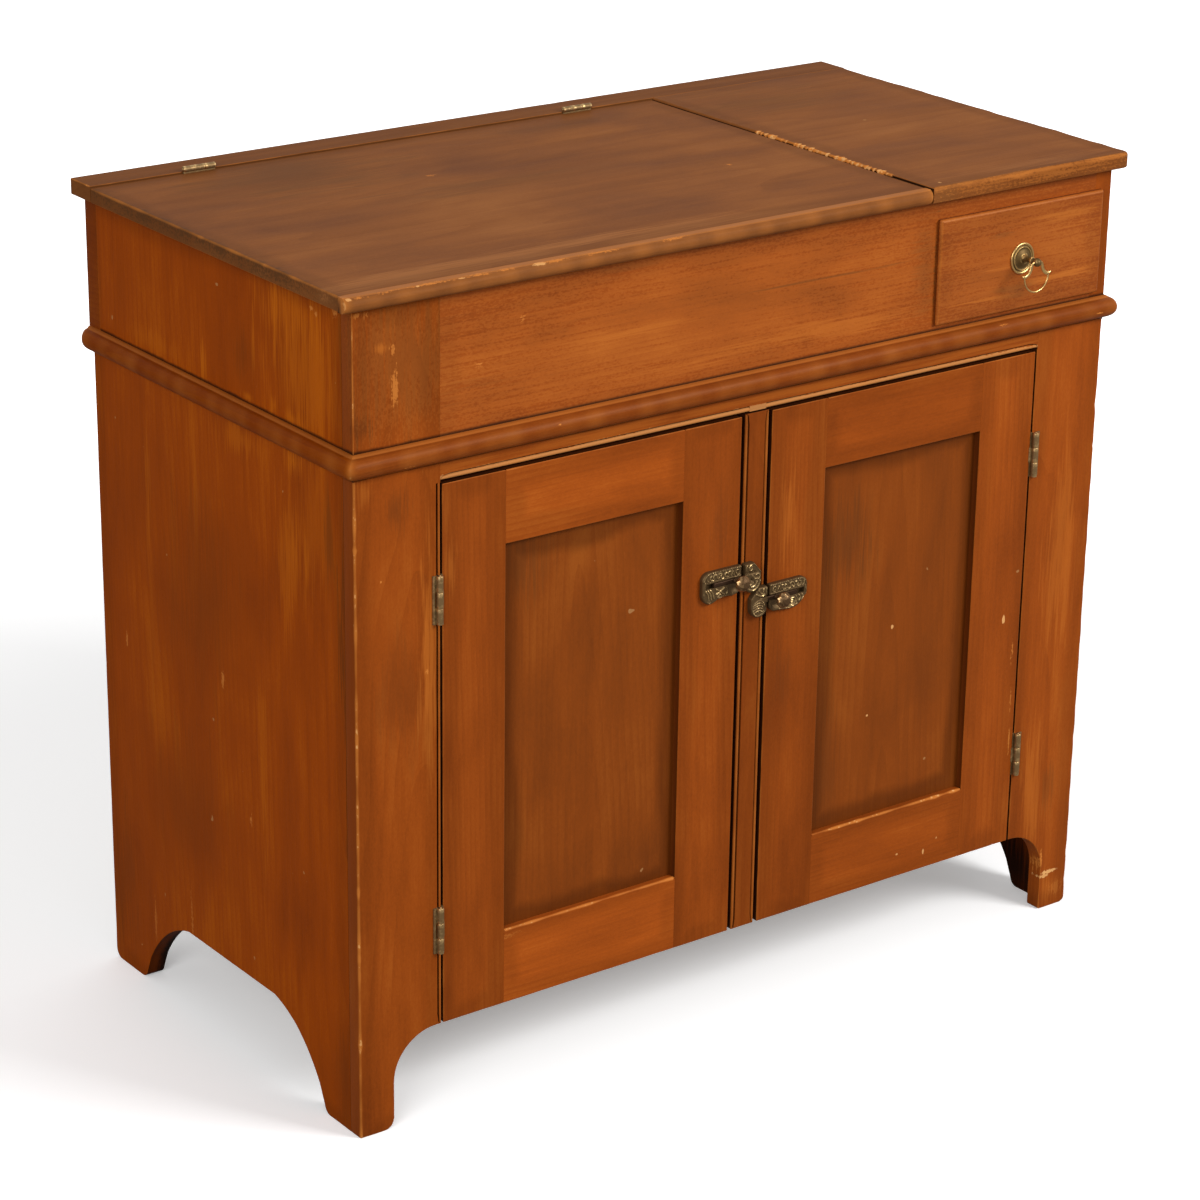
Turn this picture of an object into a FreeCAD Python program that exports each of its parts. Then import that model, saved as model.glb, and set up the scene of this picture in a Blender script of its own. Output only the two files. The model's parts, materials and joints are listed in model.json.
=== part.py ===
import FreeCAD, Part
import math
import os

# Dry sink cabinet: a lidded well on the left, a drawer under a fixed top on the
# right, and a two-door cupboard below. Millimetres, +Z up, front faces -Y, and
# the origin is at the bottom centre of the whole piece, on the floor.

V = FreeCAD.Vector

# ---------------------------------------------------------------- carcase sizes
case_width = 974.0
case_depth = 504.0
rim_height = 878.0
frame_thickness = 19.0
side_thickness = 22.0
shelf_thickness = 19.0
cleat_size = 20.0
stile_left_width = 99.0
stile_right_width = 95.0
stile_right_upper_width = 23.0
mullion_width = 31.0
mullion_offset = 4.0
door_bottom = 103.0
apron_height = 157.0
waist_rail_width = 33.0
well_floor_thickness = 19.0
cupboard_floor_bottom = 117.0
shelf_bottom = 396.0
shelf_setback = 60.0
back_board_count = 4
back_board_thickness = 12.0
back_rabbet = 11.0
back_board_gap = 1.0
upper_back_thickness = 24.0
upper_back_proud = 8.0
divider_thickness = 19.0

# ------------------------------------------------------------------- feet sizes
front_foot_width = 41.0
front_foot_straight = 52.0
front_foot_curve = 51.0
foot_corner_radius = 9.0
side_arch_half_span = 185.0
side_arch_spring = (174.0, 30.0)
side_arch_waist = (135.0, 70.5)
side_arch_crown = (88.0, 95.5)

# ------------------------------------------------------- beads around the doors
bead_radius = 1.9
quirk_width = 2.0
quirk_depth = 2.6
cut_margin = 6.0
touching = 0.01

# ------------------------------------------------------------------- top sizes
top_side_overhang = 15.5
lid_front_gap = 1.0
lid_thickness = 15.0
lid_seam_x = 219.0
lid_seam_gap = 1.0
nosing_depth = 15.0
nosing_drop = 2.0
fixed_top_thickness = 17.0
fixed_top_overhang = 13.0
fixed_top_corner = 7.0
edge_ease = 2.5
back_rail_width = 42.0
batten_width = 45.0
batten_thickness = 18.0
batten_inset = 90.0
batten_end_gap = 25.0

# ------------------------------------------------------------- waist moulding
moulding_height = 27.0
moulding_projection = 13.5
moulding_joint_cover = 13.5
moulding_nose_height = 11.5
moulding_shoulder = (8.0, 22.0)
moulding_foot = 5.0
moulding_return_setback = 2.0

# ------------------------------------------------------------------- doors
door_hinge_gap = 2.5
door_latch_gap = 3.3
door_top_gap = 2.0
door_stile_width = 75.0
door_top_rail_width = 77.0
door_bottom_rail_width = 84.0
panel_recess = 8.0
panel_thickness = 6.0
groove_depth = 8.0
panel_float = 1.0
tenon_length = 45.0
tenon_shoulder = 15.0

# ------------------------------------------------------------------- hinges
knuckle_gap = 0.25
pin_clearance = 0.05
barrel_scoop_clearance = 0.4
door_hinge_length = 50.8
door_hinge_from_bottom = 107.0
door_hinge_from_top = 118.0
door_barrel_radius = 3.6
door_pin_radius = 1.5
door_barrel_proud = 3.0
door_barrel_offset = 3.9
door_leaf_depth = 17.0
door_leaf_thickness = 1.15
lid_hinge_length = 38.0
lid_hinge_from_left = 128.5
lid_hinge_from_seam = 106.0
lid_barrel_radius = 3.2
lid_pin_radius = 1.4
lid_barrel_lift = 4.5
lid_leaf_depth = 12.0
lid_leaf_thickness = 1.0
lid_leaf_clearance = 0.05
pin_tip = 0.8

# ------------------------------------------------------------------- catches
catch_heights = {"left": 511.0, "right": 481.0}
case_length = 51.0
case_edge_inset = 0.5
case_above = 15.0
case_below = 20.5
case_skirt = 16.0
case_lobe_radius = 11.0
case_corner = 9.0
case_thickness = 7.0
case_end_wall = 4.0
case_cove_shift = 3.0
bolt_height = 5.0
bolt_depth = 5.9
bolt_foot_height = 9.8
bolt_foot_depth = 2.0
bolt_clearance = 0.3
bolt_travel = 9.0
bolt_engagement = 6.5
knob_radius = 8.5
knob_centre_reach = 18.0
knob_half_length = 6.0
knob_waist_half = 1.0
knob_back_radius = 4.6
knob_front_radius = 4.25
knob_neck_radius = 2.4
knob_inset = 9.0
knob_facets = 8
keeper_thickness = 8.5
keeper_above = 15.0
keeper_head = 12.0
keeper_far = 22.0
keeper_shoulder = 3.0
keeper_lobe_radius = 11.0
keeper_lobe_centre = (10.5, -7.5)
keeper_corner = 2.0

# ------------------------------------------------------------------- drawer
drawer_lip = 8.0
drawer_lip_proud = 6.0
drawer_lip_round = 5.0
drawer_opening_setback = 27.4
drawer_strip_below = 28.0
drawer_strip_above = 30.0
drawer_clearance = 1.0
drawer_rear_gap = 29.0
drawer_wall = 11.0
drawer_bottom_thickness = 7.0
drawer_bottom_raise = 8.0
drawer_groove = 5.0
dovetail_count = 3
dovetail_length = 13.0
dovetail_wide = 20.0
dovetail_narrow = 15.0
runner_width = 24.0
guide_height = 22.0

# ------------------------------------------------------------------- bail pull
rosette_radius = 16.5
rosette_rim = 2.0
rosette_hollow = (13.2, 10.4)
rosette_hollow_depth = 1.1
rosette_height = 4.6
rosette_boss_radius = 5.6
pull_ball_reach = 24.0
pull_ball_radius = 4.7
pull_ball_turns = (-54, -27, 0, 27, 54, 78)
pull_sides = 24
pull_neck_radius = 2.4
pull_neck_base_radius = 4.4
pull_neck_taper = 7.0
pull_shank_radius = 2.0
shank_clearance = 0.2
pull_nut_radius = 4.5
pull_nut_length = 3.0
wire_sides = 8
wire_step = 12.0
bail_wire = 1.15
bail_pin_radius = 0.9
bail_pin_clearance = 0.08
bail_shoulder = 6.3
bail_arm_bend = (9.8, -11.3)
bail_arm_tip = (20.5, -14.0)
bail_ring_radius = 16.8
bail_ring_wire = 0.95
bail_ring_drop = 19.2
bail_ring_rise = 16.0

# --------------------------------------------------------------- derived places
half_width = case_width / 2
half_inside = half_width - side_thickness
top_half_width = half_width + top_side_overhang
pull_reach = drawer_lip_proud + pull_ball_reach + pull_ball_radius
knob_reach = knob_centre_reach + knob_half_length
front_reach = max(pull_reach, knob_reach, lid_front_gap + nosing_depth)
overall_depth = front_reach + case_depth + upper_back_proud
front_y = front_reach - overall_depth / 2
frame_back_y = front_y + frame_thickness
case_back_y = front_y + case_depth
upper_back_y = case_back_y + upper_back_proud
upper_back_front_y = upper_back_y - upper_back_thickness
back_board_y = case_back_y - back_board_thickness
waist_joint = rim_height - apron_height
waist_rail_bottom = waist_joint - waist_rail_width
well_floor_top = waist_joint + moulding_height - moulding_joint_cover
well_floor_bottom = well_floor_top - well_floor_thickness
rail_seam_y = upper_back_y - back_rail_width
lid_top = rim_height + lid_thickness
stile_left_x = -half_width + stile_left_width
stile_right_x = half_width - stile_right_width
notch_x = half_width - stile_right_upper_width
mullion_left_x = mullion_offset - mullion_width / 2
mullion_right_x = mullion_offset + mullion_width / 2
moulding_bottom = waist_joint - moulding_joint_cover
door_top = waist_rail_bottom - door_top_gap
case_front_mid_y = front_y + case_depth / 2
door_hinge_heights = (door_bottom + door_hinge_from_bottom, door_top - door_hinge_from_top)
lid_hinge_places = (-top_half_width + lid_hinge_from_left, lid_seam_x - lid_hinge_from_seam)
drawer_opening_left = lid_seam_x + drawer_opening_setback
drawer_opening_bottom = waist_joint + drawer_strip_below
drawer_opening_top = rim_height - drawer_strip_above


# ------------------------------------------------------------------ shape tools
def block(x0, x1, y0, y1, z0, z1):
    """A box between two corners, given in any order."""
    low = V(min(x0, x1), min(y0, y1), min(z0, z1))
    size = V(abs(x1 - x0), abs(y1 - y0), abs(z1 - z0))
    return Part.makeBox(size.x, size.y, size.z, low)


PLANES = {
    "xz": (lambda a, b, at: V(a, at, b), V(0, 1, 0)),
    "yz": (lambda a, b, at: V(at, a, b), V(1, 0, 0)),
    "xy": (lambda a, b, at: V(a, b, at), V(0, 0, 1)),
}


def outline_edges(plane, at, start, moves):
    """The closed outline through the moves: a pair is a line, a pair of pairs an arc."""
    place = PLANES[plane][0]
    edges = []
    here = start
    for move in moves:
        if isinstance(move[0], tuple):
            middle, end = move
            edges.append(Part.Arc(place(*here, at), place(*middle, at), place(*end, at)).toShape())
        else:
            end = move
            edges.append(Part.makeLine(place(*here, at), place(*end, at)))
        here = end
    if here != start:
        edges.append(Part.makeLine(place(*here, at), place(*start, at)))
    return edges


def prism(plane, at, thickness, start, *moves):
    """A flat outline on a plane at one place, pushed along its normal."""
    wire = Part.Wire(outline_edges(plane, at, start, moves))
    return Part.Face(wire).extrude(PLANES[plane][1] * thickness)


def on_arc(centre, radius, degrees):
    """The point of an arc at an angle, measured from the first axis."""
    turn = math.radians(degrees)
    return (centre[0] + radius * math.cos(turn), centre[1] + radius * math.sin(turn))


def rod(axis, centre, radius, start, end):
    """A cylinder along axis from start to end, past centre."""
    length = abs(end - start)
    base = V(centre) + axis * min(start, end)
    return Part.makeCylinder(radius, length, base, axis)


def joined(shapes):
    """One solid, or several apart, from shapes that touch or overlap."""
    whole = shapes[0]
    if len(shapes) > 1:
        whole = shapes[0].multiFuse(shapes[1:])
    return whole.removeSplitter()


def pair(shapes):
    """Solids that stay apart but belong to one named piece."""
    return Part.makeCompound(shapes)


def cut_all(shape, tools):
    """The shape with every tool taken away."""
    if not tools:
        return shape
    return shape.cut(tools)


def eased(shape, radius, wanted):
    """The shape with the wanted straight or curved edges rounded."""
    edges = [edge for edge in shape.Edges if wanted(edge)]
    return shape.makeFillet(radius, edges)


def flat_faced(rings):
    """A solid of flat faces through rings of as many corners, closed at both ends."""
    loops = [list(rings[0]), list(rings[-1])]
    for low, high in zip(rings, rings[1:]):
        for k in range(len(low)):
            loops.append([low[k - 1], low[k], high[k], high[k - 1]])
    faces = [Part.Face(Part.makePolygon(loop + [loop[0]])) for loop in loops]
    solid = Part.makeSolid(Part.makeShell(faces))
    if solid.Volume < 0:
        solid.reverse()
    return solid


def mirrored_x(shape):
    return shape.mirror(V(0, 0, 0), V(1, 0, 0))


# -------------------------------------------------------------------- face frame
def bead_cutter_upright(edge_x, inward, z0, z1):
    """What a bead plane takes off along an upright edge of the front face."""
    crown = edge_x + inward * bead_radius
    quirk = edge_x + inward * 2 * bead_radius
    shoulder = quirk + inward * quirk_width
    outside = edge_x - inward * cut_margin
    deep = front_y + bead_radius
    return prism(
        "xy", z0, z1 - z0, (edge_x, deep),
        ((crown, front_y), (quirk, deep)),
        (quirk, front_y + quirk_depth), (shoulder, front_y + quirk_depth),
        (shoulder, front_y - cut_margin), (outside, front_y - cut_margin), (outside, deep),
    )


def bead_cutter_level(edge_z, x0, x1):
    """The same bead along the lower edge of a rail."""
    crown = edge_z + bead_radius
    quirk = edge_z + 2 * bead_radius
    shoulder = quirk + quirk_width
    outside = edge_z - cut_margin
    deep = front_y + bead_radius
    return prism(
        "yz", x0, x1 - x0, (deep, edge_z),
        ((front_y, crown), (deep, quirk)),
        (front_y + quirk_depth, quirk), (front_y + quirk_depth, shoulder),
        (front_y - cut_margin, shoulder), (front_y - cut_margin, outside), (deep, outside),
    )


def stile_outline(inner_x, notch):
    """A front stile, drawn for the right hand: foot, curved bracket, long edge."""
    r = foot_corner_radius
    foot_x = half_width - front_foot_width
    curve_centre = (foot_x - front_foot_curve, front_foot_straight)
    heel = (half_width - r, r)
    toe = (foot_x + r, r)
    moves = [
        (half_width, r),
        (on_arc(heel, r, -45), (half_width - r, 0)),
        (foot_x + r, 0),
        (on_arc(toe, r, -135), (foot_x, r)),
        (foot_x, front_foot_straight),
        (on_arc(curve_centre, front_foot_curve, 45),
         (foot_x - front_foot_curve, front_foot_straight + front_foot_curve)),
        (inner_x, door_bottom),
    ]
    if notch:
        moves += [(inner_x, waist_joint), (notch_x, waist_joint), (notch_x, rim_height)]
    else:
        moves += [(inner_x, rim_height)]
    return prism("xz", front_y, frame_thickness, (half_width, rim_height), *moves)


def barrel_scoops(sign, edge_x):
    """Shallow hollows in a stile where the hinge barrels lie."""
    centre_x = edge_x + sign * (door_barrel_offset - door_hinge_gap / 2)
    reach = door_hinge_length / 2 + pin_tip + barrel_scoop_clearance
    radius = door_barrel_radius + barrel_scoop_clearance
    return [
        rod(V(0, 0, 1), (centre_x, front_y - door_barrel_proud, z), radius, -reach, reach)
        for z in door_hinge_heights
    ]


def make_stile_left():
    stile = mirrored_x(stile_outline(-stile_left_x, False))
    bead = bead_cutter_upright(stile_left_x, -1, door_bottom, waist_rail_bottom)
    return cut_all(stile, [bead] + barrel_scoops(-1, stile_left_x))


def make_stile_right():
    stile = stile_outline(stile_right_x, True)
    return cut_all(stile, barrel_scoops(1, stile_right_x))


def make_mullion():
    post = block(mullion_left_x, mullion_right_x, front_y, frame_back_y,
                 door_bottom, waist_rail_bottom)
    beads = [
        bead_cutter_upright(mullion_left_x, 1, door_bottom, waist_rail_bottom),
        bead_cutter_upright(mullion_right_x, -1, door_bottom, waist_rail_bottom),
    ]
    return cut_all(post, beads)


def make_waist_rail():
    rail = block(stile_left_x, stile_right_x, front_y, frame_back_y,
                 waist_rail_bottom, waist_joint)
    bead_width = 2 * bead_radius
    beads = [
        bead_cutter_level(waist_rail_bottom, stile_left_x, mullion_left_x + bead_width),
        bead_cutter_level(waist_rail_bottom, mullion_right_x - bead_width, stile_right_x),
    ]
    return cut_all(rail, beads)


def make_well_front():
    """The deep board above the waist, notched at its right end for the drawer."""
    board = block(stile_left_x, notch_x, front_y, frame_back_y, waist_joint, rim_height)
    opening = block(drawer_opening_left, notch_x + cut_margin,
                    front_y - cut_margin, frame_back_y + cut_margin,
                    drawer_opening_bottom, drawer_opening_top)
    return board.cut(opening)


# -------------------------------------------------------------- sides and boards
def make_side(sign):
    """A side board with a bootjack arch, a back rabbet and a notched top corner."""
    outer = block(half_inside, half_width, frame_back_y, case_back_y, 0, rim_height)
    arch = prism(
        "yz", half_inside - cut_margin, side_thickness + 2 * cut_margin,
        (case_front_mid_y - side_arch_half_span, -cut_margin),
        (case_front_mid_y - side_arch_half_span, 0),
        (case_front_mid_y - side_arch_spring[0], side_arch_spring[1]),
        ((case_front_mid_y - side_arch_waist[0], side_arch_waist[1]),
         (case_front_mid_y - side_arch_crown[0], side_arch_crown[1])),
        (case_front_mid_y + side_arch_crown[0], side_arch_crown[1]),
        ((case_front_mid_y + side_arch_waist[0], side_arch_waist[1]),
         (case_front_mid_y + side_arch_spring[0], side_arch_spring[1])),
        (case_front_mid_y + side_arch_half_span, 0),
        (case_front_mid_y + side_arch_half_span, -cut_margin),
    )
    rabbet = block(half_inside - cut_margin, half_inside + back_rabbet,
                   back_board_y, case_back_y + cut_margin,
                   cupboard_floor_bottom, waist_joint)
    notch = block(half_inside - cut_margin, half_width + cut_margin,
                  upper_back_front_y, case_back_y + cut_margin,
                  waist_joint, rim_height + cut_margin)
    side = cut_all(outer, [arch, rabbet, notch])
    return side if sign > 0 else mirrored_x(side)


def make_back_boards():
    """Upright boards side by side in the rabbets."""
    reach = half_inside + back_rabbet
    width = (2 * reach - (back_board_count - 1) * back_board_gap) / back_board_count
    boards = []
    for number in range(back_board_count):
        x0 = -reach + number * (width + back_board_gap)
        boards.append(block(x0, x0 + width, back_board_y, case_back_y,
                            cupboard_floor_bottom, waist_joint))
    return pair(boards)


def make_upper_back():
    return block(-half_width, half_width, upper_back_front_y, upper_back_y,
                 waist_joint, rim_height)


def make_well_floor():
    return block(-half_inside, half_inside, frame_back_y, upper_back_front_y,
                 well_floor_bottom, well_floor_top)


def make_well_divider():
    return block(lid_seam_x - divider_thickness / 2, lid_seam_x + divider_thickness / 2,
                 frame_back_y, upper_back_front_y, well_floor_top, rim_height)


def make_cupboard_floor():
    return block(-half_inside, half_inside, frame_back_y, back_board_y,
                 cupboard_floor_bottom, cupboard_floor_bottom + shelf_thickness)


def make_cupboard_shelf():
    return block(-half_inside, half_inside, frame_back_y + shelf_setback, back_board_y,
                 shelf_bottom, shelf_bottom + shelf_thickness)


def make_cleats(top_z, y0, y1):
    """A strip on each side board that carries the board above it."""
    return pair([
        block(sign * half_inside, sign * (half_inside - cleat_size), y0, y1,
              top_z - cleat_size, top_z)
        for sign in (-1, 1)
    ])


# ------------------------------------------------------------------ waist moulding
def moulding_profile(place):
    """Sloped shoulder, rounded nose and a cove back to the wall, as an outline."""
    out, up = moulding_shoulder
    nose = (moulding_projection, moulding_nose_height)
    return (place(0, 0), [
        place(0, moulding_height),
        place(out, up),
        (place(*nose), place(moulding_foot, 0)),
    ])


def corner_wedge(sign, keep_front):
    """The prism beyond a mitre at a front corner, on the side that is cut away."""
    far = moulding_projection + cut_margin
    corner = (sign * half_width, front_y)
    tip = (sign * (half_width + far), front_y - far)
    if keep_front:
        third = (sign * (half_width + far), front_y)
    else:
        third = (sign * half_width, front_y - far)
    return prism("xy", moulding_bottom - cut_margin, moulding_height + 2 * cut_margin,
                 corner, tip, third)


def make_moulding_front():
    start, moves = moulding_profile(lambda out, up: (front_y - out, moulding_bottom + up))
    reach = half_width + moulding_projection
    strip = prism("yz", -reach, 2 * reach, start, *moves)
    return cut_all(strip, [corner_wedge(1, True), corner_wedge(-1, True)])


def make_moulding_side(sign):
    start, moves = moulding_profile(lambda out, up: (half_width + out, moulding_bottom + up))
    front = front_y - moulding_projection
    back = upper_back_y - moulding_return_setback
    strip = prism("xz", front, back - front, start, *moves)
    strip = strip.cut(corner_wedge(1, False))
    return strip if sign > 0 else mirrored_x(strip)


# -------------------------------------------------------------------------- hinges
def knuckle_spans(length):
    """The three knuckles of a hinge: the outer two, then the middle one."""
    third = length / 3
    half = length / 2
    outer = [(-half, -half + third - knuckle_gap / 2), (half - third + knuckle_gap / 2, half)]
    middle = [(-half + third + knuckle_gap / 2, half - third - knuckle_gap / 2)]
    return outer, middle


def butt_leaf(length, own, other, plate, depth, barrel, pin):
    """One leaf on a barrel along Z: plate = its two faces in X, running to +Y."""
    bore = pin + pin_clearance
    x0, x1 = plate
    thickness = x1 - x0
    body = block(x0, x1, 0, depth, -length / 2, length / 2)
    notches = [
        block(x0 - cut_margin, x1 + cut_margin, -cut_margin,
              barrel + barrel_scoop_clearance, z0 - knuckle_gap, z1 + knuckle_gap)
        for z0, z1 in other
    ]
    body = cut_all(body, notches)
    near = max(min(abs(x0), abs(x1)), bore)
    side = -1 if x0 + x1 < 0 else 1
    knuckles = []
    for z0, z1 in own:
        knuckles.append(rod(V(0, 0, 1), (0, 0, 0), barrel, z0, z1))
        knuckles.append(block(side * (bore + thickness / 2), side * (near + thickness),
                              0, thickness, z0, z1))
    leaf = joined([body] + knuckles)
    return leaf.cut(rod(V(0, 0, 1), (0, 0, 0), bore, -length, length))


def hinge_pin(length, pin):
    """A plain pin whose tips stand out of the end knuckles."""
    reach = length / 2 + pin_tip
    return rod(V(0, 0, 1), (0, 0, 0), pin, -reach, reach)


def door_hinge_set(sign):
    """Frame leaves, door leaves and pins of one door's two hinges."""
    outer, middle = knuckle_spans(door_hinge_length)
    frame_edge = -(door_barrel_offset - door_hinge_gap / 2)
    door_edge = frame_edge - door_hinge_gap
    depth = door_barrel_proud + door_leaf_depth
    common = (depth, door_barrel_radius, door_pin_radius)
    frame_leaf = butt_leaf(door_hinge_length, outer, middle,
                           (frame_edge - door_leaf_thickness, frame_edge), *common)
    door_leaf = butt_leaf(door_hinge_length, middle, outer,
                          (door_edge, door_edge + door_leaf_thickness), *common)
    pin = hinge_pin(door_hinge_length, door_pin_radius)
    edge_x = stile_right_x if sign > 0 else -stile_left_x
    placed = []
    for shape in (frame_leaf, door_leaf, pin):
        copies = []
        for z in door_hinge_heights:
            copy = shape.copy()
            copy.translate(V(edge_x - frame_edge, front_y - door_barrel_proud, z))
            copies.append(copy if sign > 0 else mirrored_x(copy))
        placed.append(pair(copies))
    return placed


def lid_hinge_set():
    """Rail leaves, lid leaves and pins of the two lid hinges."""
    outer, middle = knuckle_spans(lid_hinge_length)
    depth = lid_barrel_lift + lid_leaf_depth
    near = lid_leaf_clearance
    far = near + lid_leaf_thickness
    common = (depth, lid_barrel_radius, lid_pin_radius)
    rail_leaf = butt_leaf(lid_hinge_length, outer, middle, (near, far), *common)
    lid_leaf = butt_leaf(lid_hinge_length, middle, outer, (-far, -near), *common)
    pin = hinge_pin(lid_hinge_length, lid_pin_radius)
    # the plates' X becomes Y, their Y runs down, and the barrel's Z becomes -X
    turn = FreeCAD.Rotation(V(0, 1, 0), V(0, 0, -1), V(-1, 0, 0), "ZXY")
    placed = []
    for shape in (rail_leaf, lid_leaf, pin):
        copies = []
        for x in lid_hinge_places:
            copy = shape.copy()
            copy.Placement = FreeCAD.Placement(V(x, rail_seam_y, lid_top + lid_barrel_lift), turn)
            copies.append(copy)
        placed.append(pair(copies))
    return placed


def lid_hinge_mortises():
    """Pockets for the leaves on both sides of the seam, and hollows for the barrels."""
    reach = lid_leaf_clearance + lid_leaf_thickness
    half = lid_hinge_length / 2
    hollow = half + pin_tip + barrel_scoop_clearance
    pockets = [
        block(x - half, x + half, rail_seam_y - reach, rail_seam_y + reach,
              lid_top - lid_leaf_depth, lid_top + cut_margin)
        for x in lid_hinge_places
    ]
    hollows = [
        rod(V(1, 0, 0), (x, rail_seam_y, lid_top + lid_barrel_lift),
            lid_barrel_radius + barrel_scoop_clearance, -hollow, hollow)
        for x in lid_hinge_places
    ]
    return pockets + hollows


# ------------------------------------------------------------------------ the tops
def make_back_rail():
    rail = block(-top_half_width, top_half_width, rail_seam_y + lid_seam_gap / 2,
                 upper_back_y, rim_height, rim_height + fixed_top_thickness)
    return cut_all(rail, lid_hinge_mortises())


def make_fixed_top():
    """The fixed board over the drawer, with a rounded front corner."""
    left = lid_seam_x + lid_seam_gap / 2
    front = front_y - fixed_top_overhang
    back = rail_seam_y + lid_seam_gap / 2
    r = fixed_top_corner
    centre = (top_half_width - r, front + r)
    board = prism("xy", rim_height, fixed_top_thickness, (left, front),
                  (top_half_width - r, front),
                  (on_arc(centre, r, -45), (top_half_width, front + r)),
                  (top_half_width, back), (left, back))

    def exposed(edge):
        box = edge.BoundBox
        level = box.ZLength < touching
        at_front = box.YMax < front + r + touching
        at_side = box.XMin > top_half_width - r - touching
        return level and (at_front or at_side)

    return eased(board, edge_ease, exposed)


def make_lid_board():
    lid = block(-top_half_width, lid_seam_x - lid_seam_gap / 2,
                front_y - lid_front_gap, rail_seam_y - lid_seam_gap / 2,
                rim_height, lid_top)

    def left_top(edge):
        box = edge.BoundBox
        return box.XMax < -top_half_width + touching and box.ZMin > lid_top - touching

    return cut_all(eased(lid, edge_ease, left_top), lid_hinge_mortises())


def make_lid_nosing():
    """A half-round strip along the lid's front edge, hanging a little below it."""
    back = front_y - lid_front_gap
    nose = back - nosing_depth
    low = rim_height - nosing_drop
    radius = (lid_top - low) / 2
    straight = nose + radius
    return prism("yz", -top_half_width, top_half_width + lid_seam_x - lid_seam_gap / 2,
                 (back, lid_top), (straight, lid_top),
                 ((nose, low + radius), (straight, low)), (back, low))


def make_lid_battens():
    """Two cleats across the lid's underside, clear of the well's walls."""
    y0 = frame_back_y + batten_end_gap
    y1 = upper_back_front_y - batten_end_gap
    well_left = -half_inside + batten_inset
    well_right = lid_seam_x - divider_thickness / 2 - batten_inset
    return pair([
        block(well_left, well_left + batten_width, y0, y1,
              rim_height - batten_thickness, rim_height),
        block(well_right - batten_width, well_right, y0, y1,
              rim_height - batten_thickness, rim_height),
    ])


# --------------------------------------------------------------------------- doors
groove_y0 = front_y + panel_recess
groove_y1 = groove_y0 + panel_thickness
opening_bottom = door_bottom + door_bottom_rail_width
opening_top = door_top - door_top_rail_width
bottom_tenon = (door_bottom + tenon_shoulder, opening_bottom - groove_depth)
top_tenon = (opening_top + groove_depth, door_top - tenon_shoulder)


def make_door(hinge_x, latch_x):
    """Two stiles, two tenoned rails and a floating panel of one framed door."""
    inward = 1 if latch_x > hinge_x else -1
    stiles = {}
    for name, edge_x, way in (("hinge", hinge_x, inward), ("latch", latch_x, -inward)):
        inner = edge_x + way * door_stile_width
        stile = block(edge_x, inner, front_y, frame_back_y, door_bottom, door_top)
        groove = block(inner, inner - way * groove_depth, groove_y0, groove_y1,
                       bottom_tenon[0], top_tenon[1])
        mortises = [
            block(inner, inner - way * tenon_length, groove_y0, groove_y1, z0, z1)
            for z0, z1 in (bottom_tenon, top_tenon)
        ]
        stiles[name] = cut_all(stile, [groove] + mortises)
    hinge_inner = hinge_x + inward * door_stile_width
    latch_inner = latch_x - inward * door_stile_width

    def rail(z0, z1, tenon, groove_z0, groove_z1):
        body = block(hinge_inner, latch_inner, front_y, frame_back_y, z0, z1)
        slot = block(hinge_inner, latch_inner, groove_y0, groove_y1, groove_z0, groove_z1)
        tongue_through = block(hinge_inner - inward * tenon_length,
                               latch_inner + inward * tenon_length,
                               groove_y0, groove_y1, *tenon)
        return joined([body.cut(slot), tongue_through])

    top = rail(opening_top, door_top, top_tenon, opening_top, opening_top + groove_depth)
    bottom = rail(door_bottom, opening_bottom, bottom_tenon,
                  opening_bottom - groove_depth, opening_bottom)
    tongue = groove_depth - panel_float
    panel = block(hinge_inner - inward * tongue, latch_inner + inward * tongue,
                  groove_y0, groove_y1, opening_bottom - tongue, opening_top + tongue)
    return stiles["hinge"], stiles["latch"], top, bottom, panel


# ------------------------------------------------------------------------- catches
def catch_case(edge_x, away, centre_z):
    """A cast case with straight top, lobed lower corner and a T-shaped bolt way."""
    def at(u, w):
        return (edge_x + away * u, centre_z + w)

    inner = case_edge_inset
    outer = inner + case_length
    lobe = (outer - case_lobe_radius, -case_below + case_lobe_radius)
    corner = (outer - case_corner, case_above - case_corner)
    waist = outer - 2 * case_lobe_radius
    cove = (waist + case_cove_shift, -(case_skirt + case_below) / 2)
    toe = (inner + case_corner, -case_skirt + case_corner)
    body = prism(
        "xz", front_y - case_thickness, case_thickness, at(inner, case_above),
        at(corner[0], case_above),
        (at(*on_arc(corner, case_corner, 45)), at(outer, corner[1])),
        at(outer, lobe[1]),
        (at(*on_arc(lobe, case_lobe_radius, -45)), at(lobe[0], -case_below)),
        (at(*cove), at(waist - case_corner / 2, -case_skirt)),
        at(toe[0], -case_skirt),
        (at(*on_arc(toe, case_corner, -135)), at(inner, toe[1])),
    )
    slack = bolt_clearance
    end = outer - case_end_wall
    way_z = bolt_height / 2 + slack
    foot_z = bolt_foot_height / 2 + slack
    way = block(edge_x - away * cut_margin, edge_x + away * end,
                front_y - case_thickness - cut_margin, front_y,
                centre_z - way_z, centre_z + way_z)
    foot_way = block(edge_x + away * (inner + case_end_wall), edge_x + away * end,
                     front_y - bolt_foot_depth - 2 * slack, front_y,
                     centre_z - foot_z, centre_z + foot_z)
    return cut_all(body, [way, foot_way])


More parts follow.
